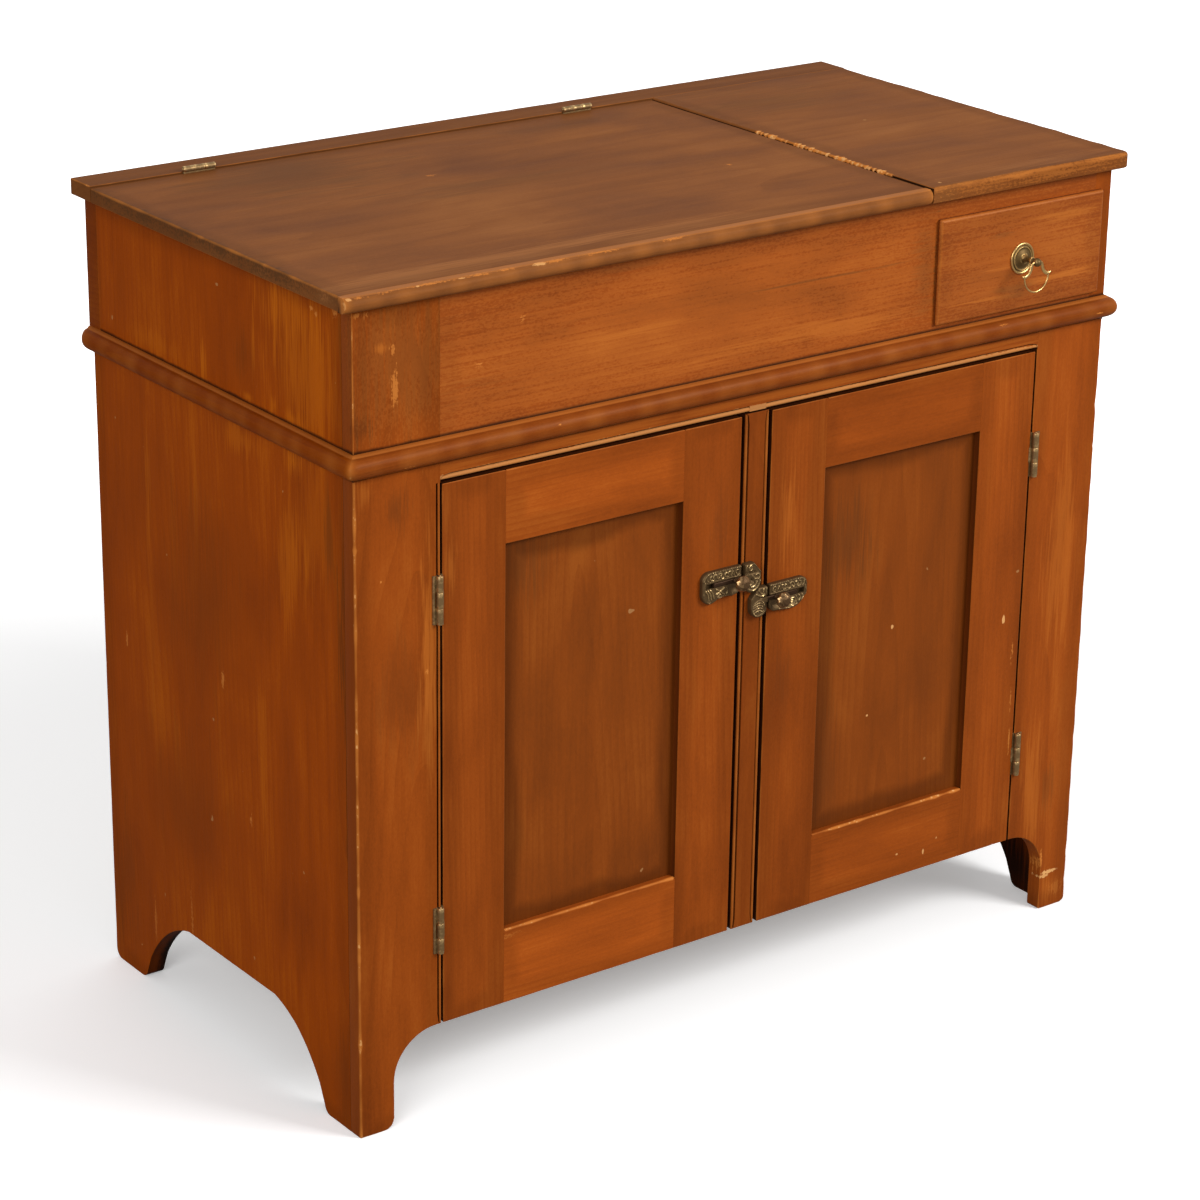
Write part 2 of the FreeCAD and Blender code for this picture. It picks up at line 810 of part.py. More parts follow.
def thumb_knob(x, z):
    """A faceted knob on a round neck, turned along the line that faces forward."""
    neck_start = front_y - bolt_clearance - bolt_depth
    centre_y = front_y - knob_centre_reach
    back = centre_y + knob_half_length
    front = centre_y - knob_half_length
    neck = rod(V(0, 1, 0), (x, 0, z), knob_neck_radius, neck_start, back)

    def ring(radius, y):
        turns = [360 * (k + 0.5) / knob_facets for k in range(knob_facets)]
        corners = [on_arc((x, z), radius, turn) for turn in turns]
        return [V(across, y, up) for across, up in corners]

    waist = knob_radius / math.cos(math.pi / knob_facets)
    rings = [ring(knob_back_radius, back), ring(waist, centre_y + knob_waist_half),
             ring(waist, centre_y - knob_waist_half), ring(knob_front_radius, front)]
    return joined([neck, flat_faced(rings)])


def catch_bolt(edge_x, away, centre_z, gap):
    """A sliding bolt: bar, wider foot that keeps it in the case, and thumb knob."""
    slack = bolt_clearance
    y_back = front_y - slack
    y_front = y_back - bolt_depth
    tip = -(gap + bolt_engagement)
    tail = case_edge_inset + case_length - case_end_wall - bolt_travel - slack
    foot_start = case_edge_inset + case_end_wall + slack
    bar = block(edge_x + away * tip, edge_x + away * tail, y_front, y_back,
                centre_z - bolt_height / 2, centre_z + bolt_height / 2)
    foot = block(edge_x + away * foot_start, edge_x + away * tail,
                 y_back - bolt_foot_depth, y_back,
                 centre_z - bolt_foot_height / 2, centre_z + bolt_foot_height / 2)
    knob = thumb_knob(edge_x + away * knob_inset, centre_z)
    return joined([bar, foot, knob])


def catch_keeper(mouth_x, toward, centre_z):
    """A cast keeper: square head, round lobe below, pocket open to the bolt."""
    def at(u, w):
        return (mouth_x + toward * u, centre_z + w)

    lobe = keeper_lobe_centre
    radius = keeper_lobe_radius
    c = keeper_corner
    lowest = lobe[1] - math.sqrt(radius ** 2 - lobe[0] ** 2)
    body = prism(
        "xz", front_y - keeper_thickness, keeper_thickness, at(0, lowest),
        at(0, keeper_above - c),
        (at(*on_arc((c, keeper_above - c), c, 135)), at(c, keeper_above)),
        at(keeper_head, keeper_above),
        at(keeper_far, keeper_shoulder),
        at(lobe[0] + radius, lobe[1]),
        (at(*on_arc(lobe, radius, -90)), at(0, lowest)),
    )
    slack = bolt_clearance
    pocket = block(mouth_x - toward * cut_margin,
                   mouth_x + toward * (bolt_engagement + slack),
                   front_y - bolt_depth - 2 * slack, front_y,
                   centre_z - bolt_height / 2 - slack, centre_z + bolt_height / 2 + slack)
    return body.cut(pocket)


# -------------------------------------------------------------------------- drawer
drawer_left = drawer_opening_left + drawer_clearance
drawer_right = notch_x - drawer_clearance
drawer_low = drawer_opening_bottom
drawer_high = drawer_opening_top - drawer_clearance
drawer_back_y = upper_back_front_y - drawer_rear_gap
pull_x = (drawer_opening_left + notch_x) / 2
pull_z = (drawer_opening_bottom + drawer_opening_top) / 2
drawer_face_y = front_y - drawer_lip_proud


def dovetails(x0, x1, grow):
    """The tails of one drawer side where they lock into the drawer front."""
    pitch = (drawer_high - drawer_low) / dovetail_count
    mouth_y = frame_back_y
    deep_y = frame_back_y - dovetail_length
    tails = []
    for number in range(dovetail_count):
        middle = drawer_low + pitch * (number + 0.5)
        wide = dovetail_wide / 2 + grow
        narrow = dovetail_narrow / 2 + grow
        tails.append(prism("yz", min(x0, x1), abs(x1 - x0),
                           (mouth_y, middle - narrow), (mouth_y, middle + narrow),
                           (deep_y, middle + wide), (deep_y, middle - wide)))
    return tails


def bottom_groove():
    """The space the drawer bottom takes out of the three walls round it."""
    z0 = drawer_low + drawer_bottom_raise
    return block(drawer_left + drawer_wall - drawer_groove,
                 drawer_right - drawer_wall + drawer_groove,
                 frame_back_y - drawer_groove, drawer_back_y,
                 z0, z0 + drawer_bottom_thickness)


def make_drawer_front():
    """A lipped front: the body fills the opening and the lip covers its edges."""
    body = block(drawer_left, drawer_right, front_y, frame_back_y, drawer_low, drawer_high)
    lip = block(drawer_opening_left - drawer_lip, notch_x + drawer_lip,
                drawer_face_y, front_y,
                drawer_opening_bottom - drawer_lip, drawer_opening_top + drawer_lip)
    lip = eased(lip, drawer_lip_round, lambda edge: edge.BoundBox.YMax < drawer_face_y + touching)
    front = joined([lip, body])
    tools = dovetails(drawer_left, drawer_left + drawer_wall, 0)
    tools += dovetails(drawer_right - drawer_wall, drawer_right, 0)
    tools.append(bottom_groove())
    tools.append(rod(V(0, 1, 0), (pull_x, 0, pull_z), pull_shank_radius + shank_clearance,
                     drawer_face_y - cut_margin, frame_back_y + cut_margin))
    return cut_all(front, tools)


def make_drawer_side(x0, x1):
    side = block(x0, x1, frame_back_y, drawer_back_y, drawer_low, drawer_high)
    return joined([side] + dovetails(x0, x1, 0)).cut(bottom_groove())


def make_drawer_back():
    """The back stands on the bottom board and reaches the top of the sides."""
    z0 = drawer_low + drawer_bottom_raise + drawer_bottom_thickness
    return block(drawer_left + drawer_wall, drawer_right - drawer_wall,
                 drawer_back_y - drawer_wall, drawer_back_y, z0, drawer_high)


def make_drawer_bottom():
    groove = bottom_groove()
    return groove.cut(dovetails(drawer_left, drawer_left + drawer_wall, 0)
                      + dovetails(drawer_right - drawer_wall, drawer_right, 0))


def make_drawer_runners():
    """A runner under each drawer side, the left one with a guide beside it."""
    z0 = well_floor_top
    left = block(drawer_left + runner_width - drawer_clearance,
                 lid_seam_x + divider_thickness / 2,
                 frame_back_y, upper_back_front_y, z0, drawer_low)
    guide = block(lid_seam_x + divider_thickness / 2, drawer_left - drawer_clearance,
                  frame_back_y, upper_back_front_y, drawer_low, drawer_low + guide_height)
    right = block(half_inside - runner_width, half_inside,
                  frame_back_y, upper_back_front_y, z0, drawer_low)
    return pair([joined([left, guide]), right])


# ----------------------------------------------------------------------- bail pull
def turned(points):
    """A turned piece about the pull's line, through (radius, reach) points."""
    places = [(pull_x + radius, drawer_face_y - reach) for radius, reach in points]
    wire = Part.Wire(outline_edges("xy", pull_z, places[0], places[1:]))
    axis_point = V(pull_x, 0, pull_z)
    return Part.Face(wire).revolve(axis_point, V(0, 1, 0), 360)


def make_rosette():
    """A round plate: sloped rim, hollow ring and raised boss, bored through."""
    bore = pull_shank_radius + shank_clearance
    rim = rosette_rim
    r = rosette_radius
    outer, inner = rosette_hollow
    return turned([
        (bore, 0), (r, 0), (r, rim / 2), (outer, rim),
        (outer, rosette_hollow_depth), (inner, rosette_hollow_depth),
        (rosette_boss_radius, rosette_height), (bore, rosette_height),
    ])


def make_post():
    """Shank and nut behind, turned neck and ball in front, cross-bored for the bail."""
    centre = V(pull_x, drawer_face_y - pull_ball_reach, pull_z)
    base = rosette_height
    middle = (0, pull_ball_reach)
    ball = [on_arc(middle, pull_ball_radius, turn) for turn in pull_ball_turns]
    outline = [(pull_neck_base_radius, base), (pull_neck_radius, base + pull_neck_taper)] + ball
    rings = []
    for radius, reach in outline:
        corners = [on_arc((pull_x, pull_z), radius, 360 * k / pull_sides)
                   for k in range(pull_sides)]
        rings.append([V(x, drawer_face_y - reach, z) for x, z in corners])
    neck_and_ball = flat_faced(rings)
    shank = rod(V(0, 1, 0), (pull_x, 0, pull_z), pull_shank_radius,
                drawer_face_y - base, frame_back_y + pull_nut_length)
    corners = [on_arc((pull_x, pull_z), pull_nut_radius, 60 * k) for k in range(6)]
    nut = prism("xz", frame_back_y, pull_nut_length, corners[0], *corners[1:])
    cross = rod(V(1, 0, 0), centre, bail_pin_radius + bail_pin_clearance,
                -2 * pull_ball_radius, 2 * pull_ball_radius)
    return joined([shank, nut, neck_and_ball]).cut(cross)


def wire_corners(radius):
    """The corners of the wire's eight-sided section."""
    return [on_arc((0, 0), radius, 360 * (k + 0.5) / wire_sides) for k in range(wire_sides)]


def wire_along(points, radius):
    """The wire in short straight lengths along the arc through three (across, up) points."""
    y = drawer_face_y - pull_ball_reach
    start, middle, end = [V(pull_x + u, y, pull_z + w) for u, w in points]
    arc = Part.Arc(start, middle, end)
    circle = arc.toShape().Curve
    sweep = arc.LastParameter - arc.FirstParameter
    lengths = math.ceil(math.degrees(sweep) / wire_step)
    rings = []
    for number in range(lengths + 1):
        here = arc.value(arc.FirstParameter + sweep * number / lengths)
        outward = (here - circle.Center).normalize()
        rings.append([here + outward * a + circle.Axis * b for a, b in wire_corners(radius)])
    return flat_faced(rings)


def make_bail():
    """Two scrolled arms pinned in the ball, and a thin ring hanging between them."""
    centre = V(pull_x, drawer_face_y - pull_ball_reach, pull_z)
    across = V(1, 0, 0)
    pieces = []
    for sign in (-1, 1):
        arm = [(sign * u, w) for u, w in ((bail_shoulder, 0), bail_arm_bend, bail_arm_tip)]
        pieces.append(rod(across, centre, bail_pin_radius,
                          sign * pull_ball_radius / 2, sign * bail_shoulder))
        pieces.append(rod(across, centre, bail_wire, sign * (bail_shoulder - bail_wire),
                          sign * (bail_shoulder + bail_wire)))
        pieces.append(wire_along(arm, bail_wire))
    ring_turns = (bail_ring_rise, -90, 180 - bail_ring_rise)
    ring = [on_arc((0, -bail_ring_drop), bail_ring_radius, turn) for turn in ring_turns]
    pieces.append(wire_along(ring, bail_ring_wire))
    return joined(pieces)


# ------------------------------------------------------------------- the assembly
left_hinge_x = stile_left_x + door_hinge_gap
left_latch_x = mullion_left_x - door_latch_gap
right_hinge_x = stile_right_x - door_hinge_gap
right_latch_x = mullion_right_x + door_latch_gap

nodes = {
    "stile_left": make_stile_left(),
    "stile_right": make_stile_right(),
    "center_mullion": make_mullion(),
    "waist_rail": make_waist_rail(),
    "well_front": make_well_front(),
    "side_left": make_side(-1),
    "side_right": make_side(1),
    "back_boards": make_back_boards(),
    "upper_back": make_upper_back(),
    "well_floor": make_well_floor(),
    "well_divider": make_well_divider(),
    "cupboard_floor": make_cupboard_floor(),
    "cupboard_shelf": make_cupboard_shelf(),
    "floor_cleats": make_cleats(cupboard_floor_bottom, frame_back_y, back_board_y),
    "shelf_cleats": make_cleats(shelf_bottom, frame_back_y + shelf_setback, back_board_y),
    "well_cleats": make_cleats(well_floor_bottom, frame_back_y, back_board_y),
    "waist_molding_front": make_moulding_front(),
    "waist_molding_left": make_moulding_side(-1),
    "waist_molding_right": make_moulding_side(1),
    "top_back_rail": make_back_rail(),
    "drawer_top": make_fixed_top(),
    "drawer_runners": make_drawer_runners(),
    "lid_board": make_lid_board(),
    "lid_nosing": make_lid_nosing(),
    "lid_battens": make_lid_battens(),
    "drawer_front": make_drawer_front(),
    "drawer_side_left": make_drawer_side(drawer_left, drawer_left + drawer_wall),
    "drawer_side_right": make_drawer_side(drawer_right - drawer_wall, drawer_right),
    "drawer_back": make_drawer_back(),
    "drawer_bottom": make_drawer_bottom(),
    "pull_rosette": make_rosette(),
    "pull_post": make_post(),
    "pull_bail": make_bail(),
}

rail_leaves, lid_leaves, lid_pins = lid_hinge_set()
nodes["lid_rail_leaves"] = rail_leaves
nodes["lid_hinge_leaves"] = lid_leaves
nodes["lid_hinge_pins"] = lid_pins

for name, sign, hinge_x, latch_x in (("left", -1, left_hinge_x, left_latch_x),
                                     ("right", 1, right_hinge_x, right_latch_x)):
    parts = make_door(hinge_x, latch_x)
    for piece, shape in zip(("hinge_stile", "latch_stile", "top_rail", "bottom_rail", "panel"),
                            parts):
        nodes[f"door_{name}_{piece}"] = shape
    frame_leaves, door_leaves, pins = door_hinge_set(sign)
    nodes[f"door_{name}_frame_leaves"] = frame_leaves
    nodes[f"door_{name}_hinge_leaves"] = door_leaves
    nodes[f"door_{name}_hinge_pins"] = pins
    height = catch_heights[name]
    mouth_x = mullion_left_x if sign < 0 else mullion_right_x
    nodes[f"catch_{name}_case"] = catch_case(latch_x, sign, height)
    nodes[f"catch_{name}_bolt"] = catch_bolt(latch_x, sign, height, door_latch_gap)
    nodes[f"catch_{name}_keeper"] = catch_keeper(mouth_x, -sign, height)

os.makedirs("parts", exist_ok=True)
for name, shape in nodes.items():
    shape.exportStep(f"parts/{name}.step")
    box = shape.BoundBox
    print(f"{name:26s} solids {len(shape.Solids)} volume {shape.Volume / 1000:10.2f} cm3 "
          f"x {box.XMin:8.2f} {box.XMax:8.2f} y {box.YMin:8.2f} {box.YMax:8.2f} "
          f"z {box.ZMin:8.2f} {box.ZMax:8.2f}")
print("nodes", len(nodes))
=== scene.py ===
# %% [markdown]
# # A country dry sink in old varnished pine
#
# A dry sink is a kitchen cabinet from before piped water. A lid on the left
# covers a deep well for crocks and basins, a small drawer sits beside it under
# a fixed top, and two panelled doors close the cupboard below.
#
# The joinery comes ready-made as a frame of separate boards, hinges and
# catches, each in its place in metres, with the front towards -Y and the floor
# at zero. This lesson dresses that frame: boards with worn edges, turned and
# cast metal, and a varnish that has gone dark in the corners and thin on the
# edges.

# %% Load the joinery
import bpy
import bmesh
import math
import numpy as np
from mathutils import Matrix, Vector
from mathutils.geometry import delaunay_2d_cdt
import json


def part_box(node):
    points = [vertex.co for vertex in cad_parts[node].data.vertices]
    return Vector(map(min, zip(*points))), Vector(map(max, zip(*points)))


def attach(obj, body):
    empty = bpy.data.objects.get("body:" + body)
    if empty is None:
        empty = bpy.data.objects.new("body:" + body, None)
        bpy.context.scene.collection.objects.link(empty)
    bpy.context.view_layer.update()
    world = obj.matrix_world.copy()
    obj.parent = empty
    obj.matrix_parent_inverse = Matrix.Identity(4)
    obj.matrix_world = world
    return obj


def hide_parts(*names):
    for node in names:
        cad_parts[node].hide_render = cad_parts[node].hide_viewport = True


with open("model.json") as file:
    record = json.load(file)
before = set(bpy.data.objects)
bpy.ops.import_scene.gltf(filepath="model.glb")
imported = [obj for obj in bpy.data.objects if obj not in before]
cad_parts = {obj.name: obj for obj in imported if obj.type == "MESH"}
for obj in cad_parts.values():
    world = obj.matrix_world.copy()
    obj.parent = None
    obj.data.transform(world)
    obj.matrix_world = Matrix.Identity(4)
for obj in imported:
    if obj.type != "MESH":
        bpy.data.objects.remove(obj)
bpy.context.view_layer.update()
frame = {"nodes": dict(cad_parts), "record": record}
nodes = frame["nodes"]
MM = 0.001

# %% [markdown]
# ## The camera
#
# The cabinet is seen from its left front corner, a little above the lid, with
# a long lens, so that upright edges stay nearly parallel. The camera is turned
# by its three own directions (right, up and back) put into one matrix, which is
# safer than three angles because nothing depends on their order.

# %% A long lens from the left front
view_turn = math.radians(-36.64)
view_rise = math.radians(21.13)
view_roll = math.radians(0.85)
look_at = Vector((-0.0045, 0.0162, 0.4017))
distance = 3.9807

back = Vector((math.sin(view_turn) * math.cos(view_rise),
               -math.cos(view_turn) * math.cos(view_rise),
               math.sin(view_rise)))
level_right = Vector((math.cos(view_turn), math.sin(view_turn), 0))
level_up = back.cross(level_right)
right = level_right * math.cos(view_roll) + level_up * math.sin(view_roll)
up = level_up * math.cos(view_roll) - level_right * math.sin(view_roll)

lens = bpy.data.cameras.new("long_lens")
lens.lens = 108.11
lens.sensor_width = 36.0
lens.clip_end = 60.0
camera = bpy.data.objects.new("camera", lens)
bpy.context.scene.collection.objects.link(camera)
place = Matrix((right, up, back)).transposed().to_4x4()
place.translation = look_at + back * distance
camera.matrix_world = place
bpy.context.scene.camera = camera
bpy.context.scene.view_settings.view_transform = "Standard"
print("camera stands at", tuple(round(v, 3) for v in place.translation))

# %% [markdown]
# ## Small helpers for shader nodes
#
# A finish is a tree of nodes. These helpers keep the trees readable: one adds a
# node and fills its sockets, either with a number or with a link, and the rest
# name the few kinds of node that come up again and again.

# %% Helpers for node trees
def add(tree, kind, inputs=None, **settings):
    """Adds a node; inputs maps a socket's name or number to a value or a socket."""
    made = tree.nodes.new(kind)
    for name, value in settings.items():
        setattr(made, name, value)
    for key, value in (inputs or {}).items():
        if isinstance(value, bpy.types.NodeSocket):
            tree.links.new(value, made.inputs[key])
        else:
            made.inputs[key].default_value = value
    return made


def maths(tree, operation, *values, clamp=False):
    """One Math node: the values are numbers or sockets."""
    return add(tree, "ShaderNodeMath", dict(enumerate(values)),
               operation=operation, use_clamp=clamp).outputs[0]


def vector_maths(tree, operation, *values):
    """One Vector Math node: its length, or else its vector."""
    made = add(tree, "ShaderNodeVectorMath", dict(enumerate(values)), operation=operation)
    return made.outputs["Value" if operation == "LENGTH" else "Vector"]


def ramp_between(tree, value, low, high, out_low=0.0, out_high=1.0):
    """A smooth step: out_low where value is under low, out_high where it is over high."""
    return add(tree, "ShaderNodeMapRange",
               {0: value, 1: low, 2: high, 3: out_low, 4: out_high},
               interpolation_type="SMOOTHSTEP").outputs[0]


def mix_colour(tree, amount, under, over):
    """Lays one colour over another by an amount."""
    return add(tree, "ShaderNodeMix", {0: amount, 6: under, 7: over},
               data_type="RGBA").outputs[2]


def noise(tree, where, scale, detail=2.0, roughness=0.5, distortion=0.0):
    """Soft noise about an even 0.5."""
    return add(tree, "ShaderNodeTexNoise", {
        "Vector": where, "Scale": scale, "Detail": detail, "Roughness": roughness,
        "Distortion": distortion}).outputs[0]


def own_place(tree):
    """Where a point lies, in the cabinet's own metres."""
    return add(tree, "ShaderNodeTexCoord").outputs["Object"]


def x_y_z(tree, where):
    """The three parts of a place."""
    return add(tree, "ShaderNodeSeparateXYZ", {0: where}).outputs


def blank_finish(name):
    """A new material with only its shader and output."""
    finish = bpy.data.materials.new(name)
    finish.use_nodes = True
    return finish, finish.node_tree, finish.node_tree.nodes["Principled BSDF"]


def show(thing):
    """Puts an object into the scene."""
    bpy.context.scene.collection.objects.link(thing)
    return thing


print("helpers ready")

# %% [markdown]
# ## The studio
#
# A pale floor, a soft sky all round and three wide lamps make a plain studio.
# The main lamp stands high on the right, so shadows fall down and to the left.
# To the camera the floor and the sky are white; for the light that they give
# to the wood they stay at an ordinary level, because a white room would wash
# the colour out.

# %% Floor, sky and lamps
SKY_FOR_WOOD = 0.42
SKY_IN_METAL = 0.55
WHITE = (1.0, 1.0, 1.0, 1.0)
FLOOR_GREY = (0.30, 0.29, 0.28, 1)


def make_sky():
    """White to the camera, and an ordinary soft light to wood and metal."""
    world = bpy.data.worlds.new("studio_sky")
    world.use_nodes = True
    bpy.context.scene.world = world
    tree = world.node_tree
    seen = add(tree, "ShaderNodeLightPath")
    mirrored = maths(tree, "MAXIMUM", seen.outputs["Is Glossy Ray"],
                     seen.outputs["Is Transmission Ray"])
    strength = maths(tree, "MULTIPLY_ADD", mirrored, SKY_IN_METAL - SKY_FOR_WOOD, SKY_FOR_WOOD)
    gap = maths(tree, "SUBTRACT", 1.0, strength)
    strength = maths(tree, "MULTIPLY_ADD", seen.outputs["Is Camera Ray"], gap, strength)
    sky = tree.nodes["Background"]
    sky.inputs["Color"].default_value = WHITE
    tree.links.new(strength, sky.inputs["Strength"])


def make_floor():
    """A wide floor that glows more and more away from the cabinet, so it melts into the white."""
    reach = 30.0
    mesh = bpy.data.meshes.new("floor")
    mesh.from_pydata([(-reach, -reach, 0), (reach, -reach, 0), (reach, reach, 0),
                      (-reach, reach, 0)], [], [(0, 1, 2, 3)])
    floor = show(bpy.data.objects.new("floor", mesh))
    finish, tree, shader = blank_finish("pale_floor")
    seen = add(tree, "ShaderNodeLightPath")
    white = mix_colour(tree, seen.outputs["Is Camera Ray"], FLOOR_GREY, WHITE)
    tree.links.new(white, shader.inputs["Base Color"])
    shader.inputs["Roughness"].default_value = 0.9
    shader.inputs["Specular IOR Level"].default_value = 0.0
    shader.inputs["Emission Color"].default_value = WHITE
    away = vector_maths(tree, "LENGTH", own_place(tree))
    glow = maths(tree, "MULTIPLY", seen.outputs["Is Camera Ray"],
                 ramp_between(tree, away, 0.9, 2.4, 0.25, 1.0))
    tree.links.new(glow, shader.inputs["Emission Strength"])
    mesh.materials.append(finish)


def hang_lamp(name, place, aim, size, power):
    """A square soft lamp at a place, turned to face a point."""
    light = bpy.data.lights.new(name, "AREA")
    light.energy = power
    light.size = size
    lamp = show(bpy.data.objects.new(name, light))
    lamp.location = place
    lamp.rotation_euler = (Vector(aim) - Vector(place)).to_track_quat("-Z", "Y").to_euler()


make_sky()
make_floor()
hang_lamp("main_lamp", (1.9, -3.1, 2.7), (0, 0, 0.5), 1.6, 124)
hang_lamp("left_fill", (-3.1, -2.0, 1.9), (0, 0, 0.45), 1.8, 62)
hang_lamp("top_fill", (0.4, 1.2, 3.2), (0, 0, 0.8), 2.0, 14)

# %% [markdown]
# ## Old varnished wood
#
# Pine that was stained orange-brown and varnished long ago shows four things
# at once: growth rings, cut lengthwise; fine fibres along the grain; cloudy
# patches where the stain soaked in unevenly; and wear, pale on the edges and
# dark along the joints where dirt and old varnish stay.
#
# Rings are circles about the tree's heart. A board is a slice through them, so
# the rings are worked out in the solid wood, about a line that lies behind the
# board and leans a little. That gives straight lines near the sides and long
# arches in the middle, as a saw does, and they run on round an edge.
#
# Each board has its own piece of the tree, by moving the pattern, and its own
# tone. The pattern is measured in the cabinet's own metres (Object
# coordinates), so it sticks to a door when the door opens.

# %% The solid wood's pattern
TURN_GRAIN = {"z": (0, 0, 0), "x": (0, math.radians(90), 0), "y": (math.radians(90), 0, 0)}
RINGS_PER_METRE = 150.0
# How far each noise is squeezed along the grain, its scale, detail, roughness
# and distortion, and which way the board's own luck moves it
WOOD_NOISES = {
    "bend": (0.12, 7.0, 2.0, 0.5, 0.0, 1), "fibres": (0.035, 420.0, 3.0, 0.6, 0.0, 1),
    "streaks": (0.13, 42.0, 4.0, 0.55, 0.25, 1), "clouds": (0.5, 9.0, 5.0, 0.55, 0.4, -1),
    "mottle": (0.5, 520.0, 3.0, 0.7, 0.0, 1)}


def wood_pattern(tree, grain, seed, heart, lean):
    """Rings, fibres, streaks, clouds and mottle of one board, each about an even 0.5.

    Rings: a wave of the distance to the tree's heart line, bent by slow noise.
    The rest: noise drawn out along the grain.
    """
    where = own_place(tree)
    shift = np.random.default_rng(seed).uniform(-3, 3, 3)
    turned = add(tree, "ShaderNodeMapping",
                 {"Vector": where, "Rotation": TURN_GRAIN[grain]}).outputs[0]
    wood = {"where": where}
    for pattern, (along, scale, detail, rough, distortion, way) in WOOD_NOISES.items():
        drawn_out = add(tree, "ShaderNodeMapping", {
            "Vector": turned, "Location": tuple(way * shift), "Scale": (1, 1, along)})
        wood[pattern] = noise(tree, drawn_out.outputs[0], scale, detail, rough, distortion)
    tree_line = add(tree, "ShaderNodeMapping", {
        "Vector": turned, "Location": (heart[0], heart[1], 0),
        "Rotation": (math.radians(lean), math.radians(lean * 0.6), 0)})
    a, b, _ = x_y_z(tree, tree_line.outputs[0])
    reach = maths(tree, "SQRT", maths(tree, "MULTIPLY_ADD", a, a, maths(tree, "MULTIPLY", b, b)))
    bent = maths(tree, "ADD", reach, maths(tree, "MULTIPLY_ADD", wood["bend"], 0.06, -0.03))
    rings = maths(tree, "FRACT", maths(tree, "MULTIPLY", bent, RINGS_PER_METRE))
    wood["rings"] = maths(tree, "POWER", rings, 2.5)
    return wood


print("grain can run along", sorted(TURN_GRAIN))

# %% [markdown]
# The dark rim round a board and the pale wear on its arrises come from where a
# point lies in the board's own box. Of its three distances to the box's faces,
# the smallest is nought on the surface, and the middle one is the distance to
# the nearest edge of that face.

# %% Distance to a board's nearest edge
def edge_distance(tree, where, low, high):
    """The middle one of the three distances to the faces of the box, in metres."""
    a, b, c = (maths(tree, "MINIMUM", maths(tree, "SUBTRACT", part, lowest),
                     maths(tree, "SUBTRACT", highest, part))
               for part, lowest, highest in zip(x_y_z(tree, where), low, high))
    inner = maths(tree, "MINIMUM", maths(tree, "MAXIMUM", a, b), c)
    return maths(tree, "MAXIMUM", maths(tree, "MINIMUM", a, b), inner)


# %% One varnished board
TONES = {
    "front": {"dark": (0.150, 0.029, 0.004), "body": (0.335, 0.069, 0.007),
              "light": (0.52, 0.143, 0.018)},
    "panel": {"dark": (0.120, 0.029, 0.005), "body": (0.235, 0.052, 0.006),
              "light": (0.36, 0.096, 0.012)},
    "side": {"dark": (0.185, 0.030, 0.001), "body": (0.330, 0.057, 0.001),
             "light": (0.54, 0.130, 0.004)},
    "top": {"dark": (0.130, 0.040, 0.011), "body": (0.235, 0.078, 0.020),
            "light": (0.34, 0.125, 0.036)},
    "inside": {"dark": (0.22, 0.100, 0.036), "body": (0.38, 0.200, 0.082),
               "light": (0.52, 0.310, 0.145)},
}
RAW_WOOD = (0.78, 0.40, 0.14, 1)
RUBBED_WOOD = (0.62, 0.205, 0.036, 1)
# Near black, painted for the shade in gaps, grooves and creases and inside the feet, with the dirt
# there
SHADE_AND_DIRT_BLACK = (0.009, 0.004, 0.0025, 1)
NICK = (0.50, 0.27, 0.10, 1)
DARK_AT, BODY_AT, LIGHT_AT = 0.22, 0.52, 0.86
FIGURE, FIBRES, MOTTLE = 0.16, 0.14, 0.20
# How fibres, mottle and streaks break a patch's rim, and how soft that rim is
RAGGED = {"bare": ((-3.0, -3.6, 0.0), 0.35), "torn": ((-1.6, -1.4, 0.0), 0.12),
          "glow": ((-3.4, 0.0, -2.4), 0.85), "shade": ((-3.4, 0.0, -2.4), 0.85),
          "shade_and_dirt": ((-0.5, 0.0, -0.4), 0.4), "side": ((0.0, 0.0, 0.0), 0.12)}


def worn_patch(tree, wood, centre, size, strength, kind):
    """An ellipsoid round a place: a torn or scratched spot, or a soft cloud of stain or dirt."""
    away = vector_maths(tree, "SUBTRACT", wood["where"], centre)
    ragged = vector_maths(tree, "LENGTH", vector_maths(tree, "DIVIDE", away, size))
    breaks, soft = RAGGED[kind]
    for pattern, share in zip(("fibres", "mottle", "streaks"), breaks):
        if share:
            ragged = maths(tree, "MULTIPLY_ADD", wood[pattern], share, ragged)
            ragged = maths(tree, "ADD", ragged, -share / 2)
    return ramp_between(tree, ragged, 0.9 - soft, 0.9 + soft * 0.4, strength, 0.0)


